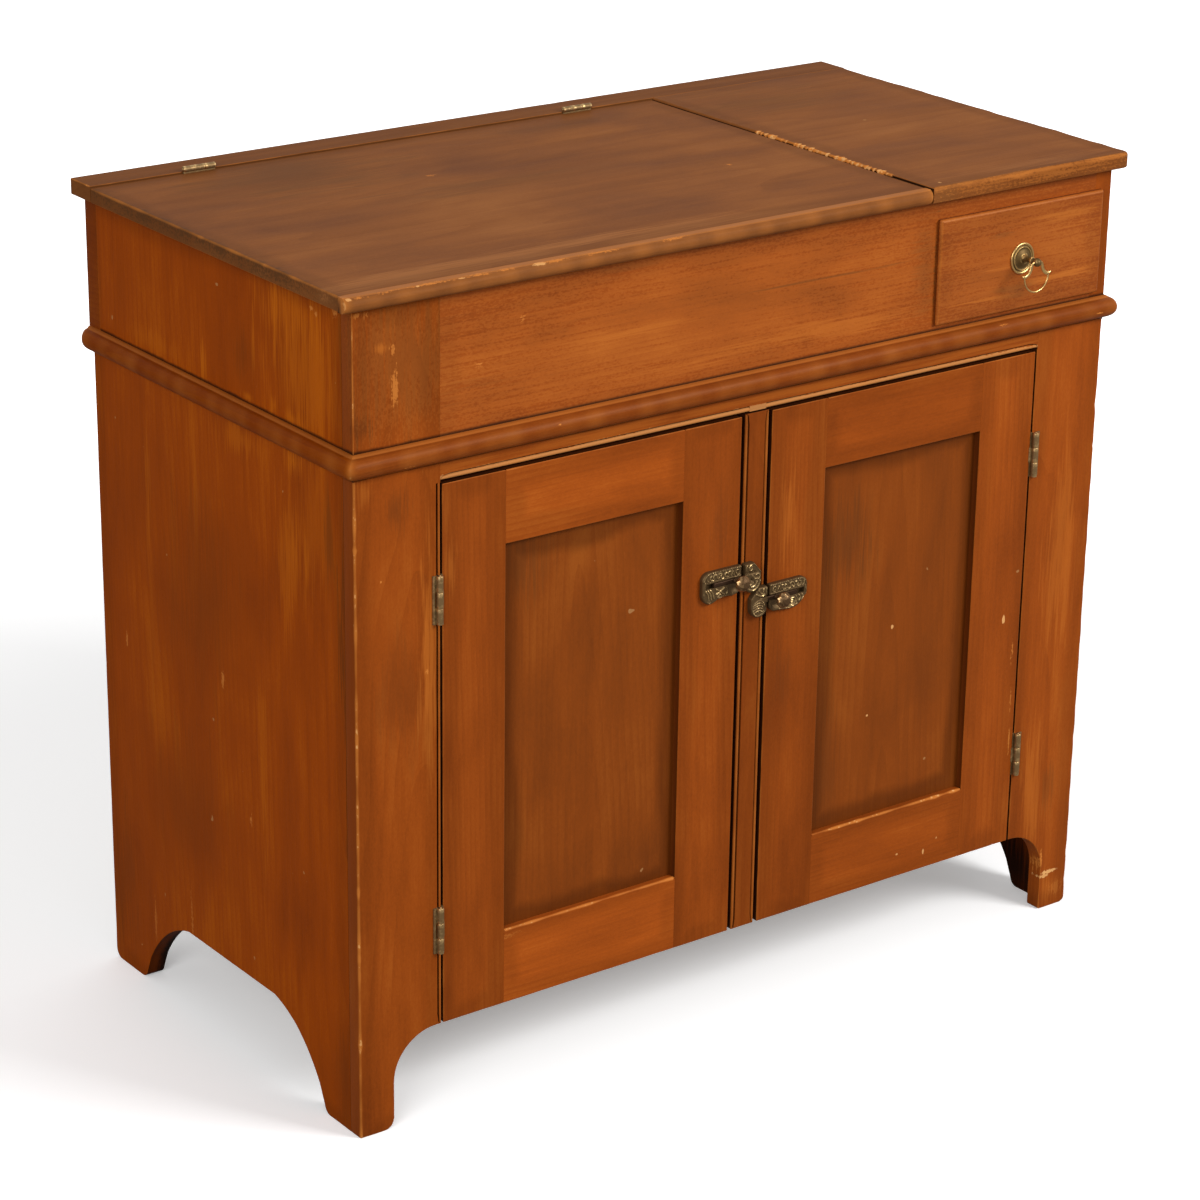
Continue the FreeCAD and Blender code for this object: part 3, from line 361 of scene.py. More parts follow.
def varnished(name, tone, grain, seed, box, heart=(0.0, 0.11), lean=2.0, depth=1.0,
              clouds=0.60, streaks=0.30, rim=0.2, wear=1.0, gloss=0.42, sheen=0.10,
              marks=(), contacts=()):
    """The finish of one board; box is its lowest and highest corner.

    marks are (kind, centre, half sizes, strength): bare and torn are rubbed or
    split spots, glow is thin stain, shade darkens as thick stain on most boards
    and as painted shade and painted shadow on a few, shade_and_dirt is
    near-black painted shade with some dirt, and side is the sides' redder stain
    where it runs over a front board's edge. contacts are the heights of the
    creases along a moulding, where a dark line is painted as shade, with some dirt.
    """
    finish, tree, shader = blank_finish(name)
    wood = wood_pattern(tree, grain, seed, heart, lean)
    value = maths(tree, "MULTIPLY_ADD", wood["clouds"], clouds, 0.5 - clouds / 2)
    for pattern, share in (("streaks", streaks), ("fibres", FIBRES), ("mottle", MOTTLE)):
        value = maths(tree, "MULTIPLY_ADD", wood[pattern], share, value)
        value = maths(tree, "ADD", value, -share / 2)
    faint = maths(tree, "MULTIPLY", wood["rings"], ramp_between(tree, wood["clouds"], 0.35, 0.6))
    value = maths(tree, "MULTIPLY_ADD", faint, -FIGURE * 0.5, value)
    value = maths(tree, "ADD", value, FIGURE * 0.08)
    shades = add(tree, "ShaderNodeValToRGB", {0: value})
    tones = TONES[tone]
    stops = shades.color_ramp.elements
    stops[0].position, stops[1].position = DARK_AT, LIGHT_AT
    stops.new(BODY_AT)
    for stop, part in zip(stops, ("dark", "body", "light")):
        stop.color = (*[c * depth for c in tones[part]], 1)
    colour = shades.outputs[0]

    paints = {"bare": RUBBED_WOOD, "torn": RAW_WOOD, "shade_and_dirt": SHADE_AND_DIRT_BLACK,
              "glow": (*[c * 0.95 for c in tones["light"]], 1),
              "shade": (*[c * k + 0.002 for c, k in zip(tones["dark"], (0.75, 1.0, 1.2))], 1),
              "side": (*[c * 0.72 for c in TONES["side"]["body"]], 1)}
    for kind, centre, size, strength in marks:
        patch = worn_patch(tree, wood, centre, size, strength, kind)
        colour = mix_colour(tree, patch, colour, paints[kind])

    edge = edge_distance(tree, wood["where"], *box)
    uneven = maths(tree, "MULTIPLY_ADD", wood["clouds"], 0.050, -0.012)
    grime = ramp_between(tree, maths(tree, "SUBTRACT", edge, uneven), -0.002, 0.014, rim, 0.0)
    colour = mix_colour(tree, grime, colour, (*[c * 0.30 for c in tones["dark"]], 1))
    # A dark line painted at each crease above and below a moulding: painted shade, with some dirt
    for level in contacts:
        height = x_y_z(tree, wood["where"])["Z"]
        near = maths(tree, "ABSOLUTE", maths(tree, "SUBTRACT", height, level))
        near = maths(tree, "MULTIPLY_ADD", wood["streaks"], -0.004, near)
        crease_shade = ramp_between(tree, near, -0.0012, 0.0022, 0.85, 0.0)
        colour = mix_colour(tree, crease_shade, colour, SHADE_AND_DIRT_BLACK)

    spots = noise(tree, wood["where"], 190.0)
    worn = add(tree, "ShaderNodeAttribute", attribute_name="worn").outputs["Fac"]
    thinned = maths(tree, "MULTIPLY", worn, wear * 0.7, clamp=True)
    colour = mix_colour(tree, thinned, colour, RUBBED_WOOD)
    rubbed = maths(tree, "MULTIPLY", ramp_between(tree, worn, 0.55, 0.95),
                   ramp_between(tree, spots, 0.58, 0.68, 0.0, 0.8))
    torn = maths(tree, "MULTIPLY", ramp_between(tree, worn, 1.15, 1.7),
                 ramp_between(tree, spots, 0.44, 0.56))
    rubbed = maths(tree, "MULTIPLY", maths(tree, "MAXIMUM", rubbed, torn), wear, clamp=True)
    colour = mix_colour(tree, rubbed, colour, RAW_WOOD)
    nicked = ramp_between(tree, noise(tree, wood["where"], 75.0, 1.0), 0.81, 0.83, 0.0, 0.5)
    colour = mix_colour(tree, nicked, colour, NICK)
    # Where the mark is below nought, gaps, grooves and creases are painted near black: painted
    # shade, with some dirt
    colour = mix_colour(tree, maths(tree, "MULTIPLY", worn, -0.96, clamp=True), colour, SHADE_AND_DIRT_BLACK)
    tree.links.new(colour, shader.inputs["Base Color"])

    rough = maths(tree, "MULTIPLY_ADD", wood["clouds"], 0.24, gloss - 0.12)
    rough = maths(tree, "MULTIPLY_ADD", rubbed, 0.25, rough)
    tree.links.new(rough, shader.inputs["Roughness"])
    shader.inputs["Specular IOR Level"].default_value = sheen
    shader.inputs["Specular Tint"].default_value = (1.0, 0.62, 0.36, 1)
    relief = maths(tree, "MULTIPLY_ADD", wood["rings"], -0.12, wood["fibres"])
    relief = maths(tree, "MULTIPLY_ADD", wood["mottle"], 0.6, relief)
    fine = add(tree, "ShaderNodeBump", {"Height": relief, "Strength": 0.22, "Distance": 0.0004})
    sway = add(tree, "ShaderNodeBump", {"Height": wood["clouds"], "Strength": 0.5,
                                        "Distance": 0.002, "Normal": fine.outputs[0]})
    tree.links.new(sway.outputs[0], shader.inputs["Normal"])
    return finish


print("tones:", sorted(TONES))

# %% [markdown]
# ## Boards with worn edges
#
# A sawn and planed board never keeps a razor edge: hands, shoes and buckets
# round it off, more here and less there. A plain box with a bevel would round
# all its edges alike, so each board is made as a surface instead: its outline
# is walked round once, and at every step the edge's cross-section is set down,
# from the front face over the arris, along the edge and over to the back face.
# How round the arris is changes slowly along the walk, with a dent here and
# there. The two flat faces close it.
#
# The same walk can set down another cross-section. Round the doors it is a
# planed bead, a small half-round with a groove beside it.

# %% The outline of a board
SHARP_TURN = math.radians(24)
EDGE_KINDS = {  # front arris, back arris, how worn, how dark the edge face is painted: shade in the gap and dirt
    "worn": (1.25, 0.9, 1.0, 0.0), "soft": (0.75, 0.6, 0.55, 0.0),
    "joint": (0.22, 0.28, 0.05, 1.0), "gap": (0.9, 0.6, 0.5, 1.0),
    "corner": (2.5, 0.9, 1.12, 0.0), "lip": (4.6, 0.2, 0.5, 0.75),
    "scoop": (2.2, 0.4, 0.0, 0.5), "bead": (0.6, 0.5, 0.8, 1.0),
    "round": (2.3, 0.8, 0.7, 0.0), "chipped": (1.9, 0.6, 1.2, 1.0),
    "blunt": (2.4, 0.6, 0.25, 1.0), "dark": (0.75, 0.6, 0.3, 0.7),
    "seam": (0.6, 0.5, 0.5, 0.45), "hinge bead": (0.6, 0.5, 0.8, 1.0),
    "post bead": (0.6, 0.5, 0.8, 1.0), "rim": (0.5, 0.5, 0.4, 0.4),
    "nosed": (4.6, 2.0, 0.5, 0.0)}
STEPS = {"chipped": 1.6, "worn": 3.0, "round": 3.0, "corner": 3.0}


def curve_points(centre, radius, start, end, kind, count=10):
    """Points of an arc about a centre, each tagged with the kind of edge that follows."""
    turns = np.radians(np.linspace(start, end, count + 1))
    return [(centre[0] + radius * math.cos(t), centre[1] + radius * math.sin(t), kind)
            for t in turns]


def walk(outline, corner=1.0):
    """Steps round an outline in millimetres: points and the kind of edge at each.

    A sharp corner becomes a small arc, a long straight run gets a point every
    few millimetres, closer where it is worn, and where only the kind changes,
    two points lie almost together.
    """
    count = len(outline)
    spots = np.array([(a, b) for a, b, _ in outline], float)
    points, kinds = [], []
    for i in range(count):
        here, before, after = spots[i], spots[i - 1], spots[(i + 1) % count]
        come, go = here - before, after - here
        come_length, go_length = np.hypot(*come), np.hypot(*go)
        come, go = come / come_length, go / go_length
        turn = math.atan2(come[0] * go[1] - come[1] * go[0], come @ go)
        old, new = outline[i - 1][2], outline[i][2]
        if abs(turn) > SHARP_TURN:
            cut = min(corner, 0.4 * come_length, 0.4 * go_length)
            share = np.linspace(0, 1, 5)[:, None]
            start, end = here - come * cut, here + go * cut
            arc = (1 - share) ** 2 * start + 2 * share * (1 - share) * here + share ** 2 * end
            points.extend(arc)
            kinds.extend([old, old, new, new, new])
        elif old != new:
            points.extend([here - come * 0.01, here + go * 0.01])
            kinds.extend([old, new])
        else:
            points.append(here)
            kinds.append(new)
        extra = int(go_length // STEPS.get(new, 12.0))
        for k in range(1, extra + 1):
            points.append(here + go * go_length * k / (extra + 1))
            kinds.append(new)
    return np.array(points), kinds


print("kinds of edge:", sorted(EDGE_KINDS))

# %% The cross-section of an edge
# Bead radius, groove width, groove depth and how black the groove is painted, as shade and dirt in
# it
BEADS = {"bead": (2.35, 1.5, 1.9, 0.75), "hinge bead": (1.35, 2.3, 3.2, 0.97),
         "post bead": (1.9, 1.5, 1.5, 0.6)}
FRONT_ROWS, BACK_ROWS = 11, 5


def slow_noise(length, seed, waves=(37.0, 61.0, 113.0, 211.0)):
    """A smooth wandering number from about -1 to 1, from a few sines of odd lengths."""
    luck = np.random.default_rng(seed)
    total = np.zeros_like(length)
    for wave in waves:
        total += np.sin(2 * np.pi * (length / wave + luck.random())) * luck.uniform(0.4, 1.0)
    return total / len(waves) * 1.4


def edge_rows(kinds, length, thickness, seed):
    """Inset and depth of each row of the edge, and its mark: 1 rubbed bare, -1 shade and dirt."""
    count = len(kinds)
    rows = FRONT_ROWS + BACK_ROWS + 2
    front, rear, share, edge_shade_and_dirt = np.array([EDGE_KINDS[kind] for kind in kinds]).T
    wander = slow_noise(length, seed)
    luck = np.random.default_rng(seed + 1)
    dents = np.zeros(count)
    for place in luck.uniform(0, length[-1], max(2, int(length[-1] / 160))):
        wide = luck.uniform(2.5, 7)
        dents += luck.uniform(0.4, 1.5) * np.exp(-((length - place) / wide) ** 2)
    chips = np.array([kind == "chipped" for kind in kinds]) * np.clip(
        slow_noise(length, seed + 2, (7.0, 13.0, 23.0, 61.0)) * 4.0 + 0.9, 0.5, 4.2)
    front = front * (1 + 0.38 * wander * (share > 0.3)) + dents * share + chips
    front = np.minimum(front, thickness * 0.6)
    rear = np.minimum(rear, thickness * 0.3)
    turn = np.linspace(0, np.pi / 2, FRONT_ROWS)[:, None]
    rear_turn = np.linspace(0, np.pi / 2, BACK_ROWS)[:, None]
    inset = np.vstack([front[None] + 0.5, front * (1 - np.sin(turn)),
                       rear * (1 - np.cos(rear_turn)), rear[None] + 0.5])
    depth = np.vstack([np.zeros((1, count)), front * (1 - np.cos(turn)),
                       thickness - rear * (1 - np.sin(rear_turn)),
                       np.full((1, count), thickness)])
    worn = np.zeros((rows, count))
    worn[1:FRONT_ROWS + 1] = np.sin(2 * turn) * share * np.clip(0.65 + 0.5 * wander + dents, 0, 1)
    worn[1:FRONT_ROWS] += 0.55 * chips
    worn[FRONT_ROWS + 1:-1] = 0.5 * np.sin(2 * rear_turn) * share
    # The face of the edge, inside a gap or seam, is painted dark: painted shade, with some dirt
    worn[FRONT_ROWS] -= edge_shade_and_dirt
    worn[FRONT_ROWS + 1:-1] -= edge_shade_and_dirt * 0.3
    for style, (r, q, sunk, shade_and_dirt) in BEADS.items():
        bead = [i for i, kind in enumerate(kinds) if kind == style]
        if not bead:
            continue
        crown = np.linspace(0, np.pi, FRONT_ROWS - 3)
        shape_in = np.concatenate([[2 * r + q + 0.5, 2 * r + q, 2 * r + q, 2 * r],
                                   r + r * np.cos(crown)])
        shape_deep = np.concatenate([[0, 0, sunk, sunk], r - r * np.sin(crown)])
        inset[:FRONT_ROWS + 1, bead] = shape_in[:, None]
        depth[:FRONT_ROWS + 1, bead] = shape_deep[:, None]
        worn[4:FRONT_ROWS, bead] = (np.sin(crown)[:-1, None]
                                    * np.clip(0.4 + 0.2 * wander[bead], 0, 1))
        # The groove is painted dark: painted shade in the groove, with some dirt
        worn[:5, bead] = np.array([0, 0, -shade_and_dirt, -shade_and_dirt, -shade_and_dirt])[:, None]
    return inset, depth, worn


print("rows over an edge:", FRONT_ROWS + BACK_ROWS + 2)

# %% The board itself
PLACES = {
    "xz": lambda a, b, d: (a, d, b),
    "yz": lambda a, b, d: (d, a, b),
    "xy": lambda a, b, d: (a, b, d),
}


def into_mesh(name, points, faces, worn=None, sharp=35):
    """A named object from points in millimetres, with outward faces and sharp corners kept."""
    mesh = bpy.data.meshes.new(name)
    mesh.from_pydata((np.asarray(points, float) * MM).tolist(), [], faces)
    if worn is not None:
        mark = mesh.attributes.new("worn", "FLOAT", "POINT")
        mark.data.foreach_set("value", np.asarray(worn, np.float32).ravel())
    shell = bmesh.new()
    shell.from_mesh(mesh)
    bmesh.ops.remove_doubles(shell, verts=shell.verts, dist=2e-6)
    bmesh.ops.recalc_face_normals(shell, faces=shell.faces)
    for face in shell.faces:
        face.smooth = True
    shell.to_mesh(mesh)
    shell.free()
    mesh.set_sharp_from_angle(angle=math.radians(sharp))
    return show(bpy.data.objects.new(name, mesh))


def grid_faces(rows, columns, closed=False):
    """Quads of a grid of points, row by row; closed joins the last column to the first."""
    r, c = np.meshgrid(np.arange(rows - 1), np.arange(columns if closed else columns - 1),
                       indexing="ij")
    after = (c + 1) % columns
    quads = np.stack([r * columns + c, r * columns + after,
                      (r + 1) * columns + after, (r + 1) * columns + c], -1)
    return quads.reshape(-1, 4).tolist()


def tube_faces(rows, columns):
    """Quads of a row of closed rings, and a face over each end."""
    ends = [list(range(columns)), list(range((rows - 1) * columns, rows * columns))]
    return grid_faces(rows, columns, closed=True) + ends


def uncross(row, ahead):
    """Where an inset line runs backwards round a tight corner, its points are drawn together."""
    backwards = np.sum((np.roll(row, -1, 0) - row) * ahead, 1) < 1e-4
    if not backwards.any() or backwards.all():
        return
    first = int(np.argmin(backwards))
    run = []
    for k in range(len(row) + 1):
        i = (first + k) % len(row)
        run.append(i)
        if not backwards[i]:
            row[run] = row[run].mean(0)
            run = []


def filled(rings, first=0):
    """Triangles that fill a flat ring of points, less any holes, numbered from first.

    The points are joined by a triangulation that keeps the rings' own edges,
    and a triangle stays when its middle lies inside: a level line from there
    crosses the rings an odd number of times.
    """
    flat = np.vstack(rings)
    middle = flat.mean(0)
    flat = flat - middle
    sides, ends, start = [], [], 0
    for ring in rings:
        size = len(ring)
        sides += [(start + i, start + (i + 1) % size) for i in range(size)]
        ends.append(np.roll(ring, -1, 0) - middle)
        start += size
    ends = np.vstack(ends)
    found = delaunay_2d_cdt([Vector(p) for p in flat.tolist()], sides, [], 0, 1e-6, True)
    spots = np.array([tuple(spot) for spot in found[0]])
    number = [sources[0] if sources else int(np.argmin(np.hypot(*(flat - spot).T)))
              for spot, sources in zip(spots, found[3])]
    kept = []
    for face in found[2]:
        a, b = spots[list(face)].mean(0)
        spans = (flat[:, 1] > b) != (ends[:, 1] > b)
        rise = np.where(spans, ends[:, 1] - flat[:, 1], 1)
        across = flat[:, 0] + (b - flat[:, 1]) * (ends[:, 0] - flat[:, 0]) / rise
        corners = [number[i] for i in face]
        if np.sum(spans & (across > a)) % 2 and len(set(corners)) == 3:
            kept.append([first + corner for corner in corners])
    return kept


def board(name, plane, outline, face, rear, seed, corner=1.0):
    """A board: its outline's inward offset and depth, row by row, with both faces closed.

    A point of row k and step n is outline(n) + inset(k, n) * inward(n), at the
    depth face + depth(k, n) towards the rear.
    """
    steps, kinds = walk(outline, corner=corner)
    after = np.roll(steps, -1, 0)
    strides = np.hypot(*(after - steps).T)
    ahead = (after - steps) / strides[:, None]
    behind = np.roll(ahead, 1, 0)
    area = np.sum(steps[:, 0] * after[:, 1] - steps[:, 1] * after[:, 0])
    side = 1 if area > 0 else -1
    inward = side * np.stack([-(ahead + behind)[:, 1], (ahead + behind)[:, 0]], 1)
    size = np.hypot(inward[:, 0], inward[:, 1])
    inward = inward / size[:, None] * np.minimum(2 / size, 1.4)[:, None]
    length = np.concatenate([[0], np.cumsum(strides)[:-1]])
    inset, depth, worn = edge_rows(kinds, length, abs(rear - face), seed)
    flat = steps[None] + inset[..., None] * inward[None]
    for row in flat:
        uncross(row, ahead)
    deep = face + math.copysign(1, rear - face) * depth
    points = np.stack(PLACES[plane](flat[..., 0], flat[..., 1], deep), -1).reshape(-1, 3)
    rows, columns = inset.shape
    faces = grid_faces(rows, columns, closed=True)
    faces += filled([flat[0]]) + filled([flat[-1]], (rows - 1) * columns)
    return into_mesh(name, points, faces, worn)


def rectangle(a0, a1, b0, b1, kinds):
    """A rectangle's outline; kinds are its bottom, right, top and left edges."""
    return [(a0, b0, kinds[0]), (a1, b0, kinds[1]), (a1, b1, kinds[2]), (a0, b1, kinds[3])]


def millimetres(node):
    """The lowest and highest corner of a node, in millimetres."""
    low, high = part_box(node)
    return np.array(low) / MM, np.array(high) / MM


print("the board maker is ready")

# %% [markdown]
# Each finished board takes the place of its plain node, rides on the same body
# and gets a varnish of its own. One helper does all of that, so that no board
# is left behind when a door swings.

# %% Put a board in its place
BODY_OF = {node: body for body, members in frame["record"]["behaviour"]["bodies"].items()
           for node in members}
SLOT_OF = {part["node"]: part["material_slot"] for part in frame["record"]["subparts"]}
dressed = {}


def dress(piece, node, finish):
    """The piece stands for the node, rides with it and wears the finish."""
    piece.data.materials.clear()
    piece.data.materials.append(finish)
    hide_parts(node)
    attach(piece, BODY_OF[node])
    dressed[node] = piece
    return piece


def box_of(piece):
    """Lowest and highest corner of a piece's mesh, in metres."""
    points = np.empty(len(piece.data.vertices) * 3, np.float32)
    piece.data.vertices.foreach_get("co", points)
    points = points.reshape(-1, 3)
    return tuple(map(float, points.min(0))), tuple(map(float, points.max(0)))


def on_face(plane, depth, thick, marks):
    """Marks in metres, from (kind, a, b, half width, half height, strength) in millimetres."""
    return [(kind, tuple(v * MM for v in PLACES[plane](a, b, depth)),
             tuple(v * MM for v in PLACES[plane](wide, tall, thick)), strength)
            for kind, a, b, wide, tall, strength in marks]


def varnished_board(node, plane, outline, seed, tone, grain, body_box=None, face=None,
                    rear=None, marks=(), **look):
    """Makes, varnishes and places the board that stands for a node.

    The marks lie on its face, or on its back where they are near-black painted shade.
    """
    low, high = millimetres(node)
    axis = {"xz": 1, "yz": 0, "xy": 2}[plane]
    face = low[axis] if face is None else face
    rear = high[axis] if rear is None else rear
    piece = board(node + "_board", plane, outline, face, rear, seed)
    placed = []
    for mark in marks:
        placed += on_face(plane, rear if mark[0] == "shade_and_dirt" else face,
                          90 if mark[0] == "side" else 15, [mark])
    finish = varnished(node + "_varnish", tone, grain, seed, body_box or box_of(piece),
                       marks=placed, **look)
    return dress(piece, node, finish)


print("nodes with a slot:", len(SLOT_OF))

# %% [markdown]
# ## The face frame
#
# Two wide stiles run from the feet to the lid, and their feet are sawn to a
# curve in the same board. A narrow post parts the doors, a rail runs over
# them, and the deep board above closes the well, notched at its right end for
# the drawer. Round the door openings the edges carry a bead, so that the gap
# beside it looks like one more groove.

# %% Stiles with sawn feet
HALF, FOOT_X, FOOT_TOP, BRACKET = 487.0, 446.0, 52.0, 51.0
low, high = millimetres("stile_left")
DOOR_LOW, WAIST_LOW, WAIST, RIM = 103.0, 688.0, 721.0, high[2]
MOULDING_LOW, MOULDING_TALL = 710.3, 24.2
MOULDING_LINES = ((MOULDING_LOW + MOULDING_TALL) * MM, MOULDING_LOW * MM)
NOTCH_X, NOTCH_LOW, NOTCH_HIGH = 246.4, 748.5, 848.0


def stile_outline(inner, above, inner_kind, inner_toe, outer_toe):
    """The right stile's outline from the foot's outer corner, against the clock."""
    path = [(HALF, 60.0, "corner"), (HALF, WAIST - 14, "joint"), (HALF, WAIST + 14, "worn"),
            (HALF, RIM, "rim"), (above, RIM, "joint")]
    if above != inner:
        path += [(above, WAIST, "joint")]
    path += [(inner, WAIST, "joint"), (inner, WAIST_LOW, inner_kind), (inner, DOOR_LOW, "soft")]
    path += curve_points((FOOT_X - BRACKET, FOOT_TOP), BRACKET, 90, 0, "soft", 14)
    path += curve_points((FOOT_X + inner_toe, inner_toe), inner_toe, 180, 270, "worn", 5)
    path += curve_points((HALF - outer_toe, outer_toe), outer_toe, 270, 360, "corner", 5)
    return path


def mirrored(outline):
    """The same outline on the left, still walked against the clock."""
    return [(-a, b, outline[i - 1][2]) for i, (a, b, _) in reversed(list(enumerate(outline)))]


varnished_board(
    "stile_left", "xz", mirrored(stile_outline(388.0, 388.0, "hinge bead", 11.0, 1.2)), 11,
    "front", "z", heart=(0.42, 0.10), lean=1.2, depth=0.92, sheen=0.07, contacts=MOULDING_LINES,
    marks=[("side", -492, 460, 6, 900, 0.95), ("shade", -432, 815, 80, 75, 0.50),
           ("shade", -478, 759, 12, 12, 0.5), ("shade", -435, 473, 35, 64, 0.3),
           ("shade", -439, 671, 18, 28, 0.5), ("glow", -402, 528, 13, 110, 0.7),
           ("glow", -474, 692, 9, 14, 0.5), ("glow", -454, 834, 7, 5, 0.6),
           ("bare", -442, 831, 3, 6, 0.6), ("bare", -440, 794, 4, 16, 0.65),
           ("bare", -482, 871, 4, 3, 0.7), ("bare", -471, 870, 2, 4, 0.6),
           ("bare", -457, 600, 1, 1, 0.8), ("bare", -404, 495, 2, 2, 0.8),
           ("bare", -432, 815, 70, 70, 0.10)])
varnished_board(
    "stile_right", "xz", stile_outline(392.0, 464.0, "gap", 2.5, 6.0), 12,
    "front", "z", heart=(-0.44, 0.10), lean=1.0, contacts=MOULDING_LINES,
    marks=[("side", 492, 460, 6, 900, 0.95), ("glow", 424, 145, 20, 80, 0.5),
           ("glow", 447, 433, 22, 110, 0.4),
           ("shade", 447, 160, 12, 30, 0.4), ("glow", 466, 22, 20, 18, 0.5),
           ("torn", 460, 45, 13, 2.6, 1.0), ("torn", 452, 41, 8, 2.4, 0.9),
           ("bare", 446, 62, 2, 11, 0.8), ("bare", 470, 22, 9, 9, 0.3)])
print("stiles stand", round(box_of(dressed["stile_left"])[1][2], 3), "m high")

# %% Post, rail and the deep board of the well
low, high = millimetres("center_mullion")
varnished_board("center_mullion", "xz", rectangle(low[0], high[0], low[2], high[2], (
    "soft", "post bead", "joint", "post bead")), 13, "front", "z", heart=(0.0, 0.06), depth=0.80)
post_left, post_right = low[0], high[0]
low, high = millimetres("waist_rail")
RAIL_LOW = low[2] + 1.9
# The torn strip along the bead is a painted highlight where the bead catches light from above, with
# some wear
varnished_board("waist_rail", "xz", [
    (low[0], RAIL_LOW, "bead"), (post_left + 4.7, RAIL_LOW, "joint"),
    (post_right - 4.7, RAIL_LOW, "bead"), (high[0], RAIL_LOW, "joint"),
    (high[0], high[2], "joint"), (low[0], high[2], "joint")],
    14, "front", "x", heart=(0.70, 0.07), contacts=MOULDING_LINES,
    marks=[("torn", -100, RAIL_LOW + 2.0, 700, 4, 0.5), ("glow", 0, 702, 500, 6, 0.4)])
low, high = millimetres("well_front")
# The narrow shade mark at x 239 is a painted shadow of the drawer's lip beside its left end
varnished_board("well_front", "xz", [
    (low[0], low[2], "joint"), (high[0], low[2], "joint"), (high[0], NOTCH_LOW, "soft"),
    (NOTCH_X, NOTCH_LOW, "soft"), (NOTCH_X, NOTCH_HIGH, "soft"), (high[0], NOTCH_HIGH, "joint"),
    (high[0], high[2], "rim"), (low[0], high[2], "joint")],
    15, "front", "x", heart=(0.80, 0.16), lean=0.8, depth=0.97, rim=0.12, streaks=0.32, sheen=0.25,
    clouds=0.8, contacts=MOULDING_LINES,
    marks=[("shade", -391, 833, 3, 45, 0.5), ("bare", -292, 836, 3, 3, 0.6),
           ("bare", -342, 799, 4, 3, 0.6), ("glow", 60, 760, 160, 10, 0.4),
           ("shade", 225, 800, 18, 60, 0.45), ("shade", 239, 798, 3, 60, 0.9),
           ("shade", 75, 817, 136, 1.2, 0.7), ("shade", -174, 867, 49, 6, 0.4),
           ("glow", -149, 802, 63, 5, 0.4), ("shade", -340, 780, 35, 5, 0.3),
           ("bare", -60, 800, 480, 110, 0.13)])
print("face frame boards so far:", len(dressed))

# %% [markdown]
# ## Sides and back
#
# Each side is one wide board with upright grain, cut to an arch between its
# front and back feet. It is the darkest wood to the eye and has the liveliest
# stain, with golden streaks where it took less colour.

# %% The arched sides
SIDE_INNER, BACK_SEAM = 465.0, 249.35


def side_outline():
    """A side board: sawn to an arch below, and stepped in at the top for the back board."""
    low, high = millimetres("side_left")
    y0, y1, middle, toe = low[1], high[1] - 0.35, 13.35, 11.0
    t = np.linspace(0, 1, 13)
    out, up = ((1 - t) ** 2 * spring + 2 * t * (1 - t) * bend + t ** 2 * crown
               for spring, bend, crown in ((174.0, 140.0, 88.0), (30.0, 84.0, 95.5)))
    arch = []
    for sign in (1, -1):
        curve = curve_points((middle + sign * (183.0 + toe), toe), toe,
                             -90, -90 - sign * 80, "dark", 5)
        curve += [(middle + sign * a, b, "dark") for a, b in zip(out, up)]
        arch += curve[::sign]
    heel = curve_points((y1 - toe, toe), toe, 0, -90, "soft", 5)
    return [(y0, 0.0, "worn")] + arch[::-1] + heel[::-1] + [
        (y1, WAIST, "joint"), (BACK_SEAM, WAIST, "joint"),
        (BACK_SEAM, RIM, "rim"), (y0, RIM, "joint")]


SIDE = side_outline()
STREAKS = [(38, 752, 5, 26, 0.6), (-102, 829, 4, 36, 0.6), (-60, 803, 4, 32, 0.5),
           (-48, 741, 12, 6, 0.6), (-97, 746, 8, 12, 0.6), (-130, 740, 20, 10, 0.6),
           (-130, 698, 18, 20, 0.7), (-32, 693, 45, 16, 0.45), (-135, 850, 60, 30, 0.5),
           (143, 750, 60, 14, 0.35), (-151, 603, 7, 34, 0.45), (-119, 593, 24, 70, 0.4),
           (60, 620, 5, 60, 0.4), (160, 560, 6, 90, 0.35), (-60, 330, 6, 110, 0.3),
           (-165, 795, 70, 75, 0.5), (-170, 640, 50, 70, 0.25)]
DULLED = [(267, 775, 16, 90, 0.6), (-226, 542, 15, 170, 0.8), (-228, 807, 14, 75, 0.65),
          (-194, 637, 8, 62, 0.6), (56, 495, 85, 115, 0.35), (-40, 785, 18, 30, 0.4),
          (90, 250, 90, 90, 0.3), (-210, 60, 20, 60, 0.4), (240, 100, 30, 90, 0.4)]
NICKS = [(-169, 862, 4, 2, 0.9), (-210, 867, 4, 5, 0.9), (-176, 858, 3, 2, 0.8),
         (93, 90, 2, 50, 0.5), (173, 82, 2, 25, 0.4), (216, 398, 2, 7, 0.7),
         (15, 420, 3, 8, 0.6), (-35, 280, 2, 6, 0.6), (60, 84, 14, 3, 0.5)]
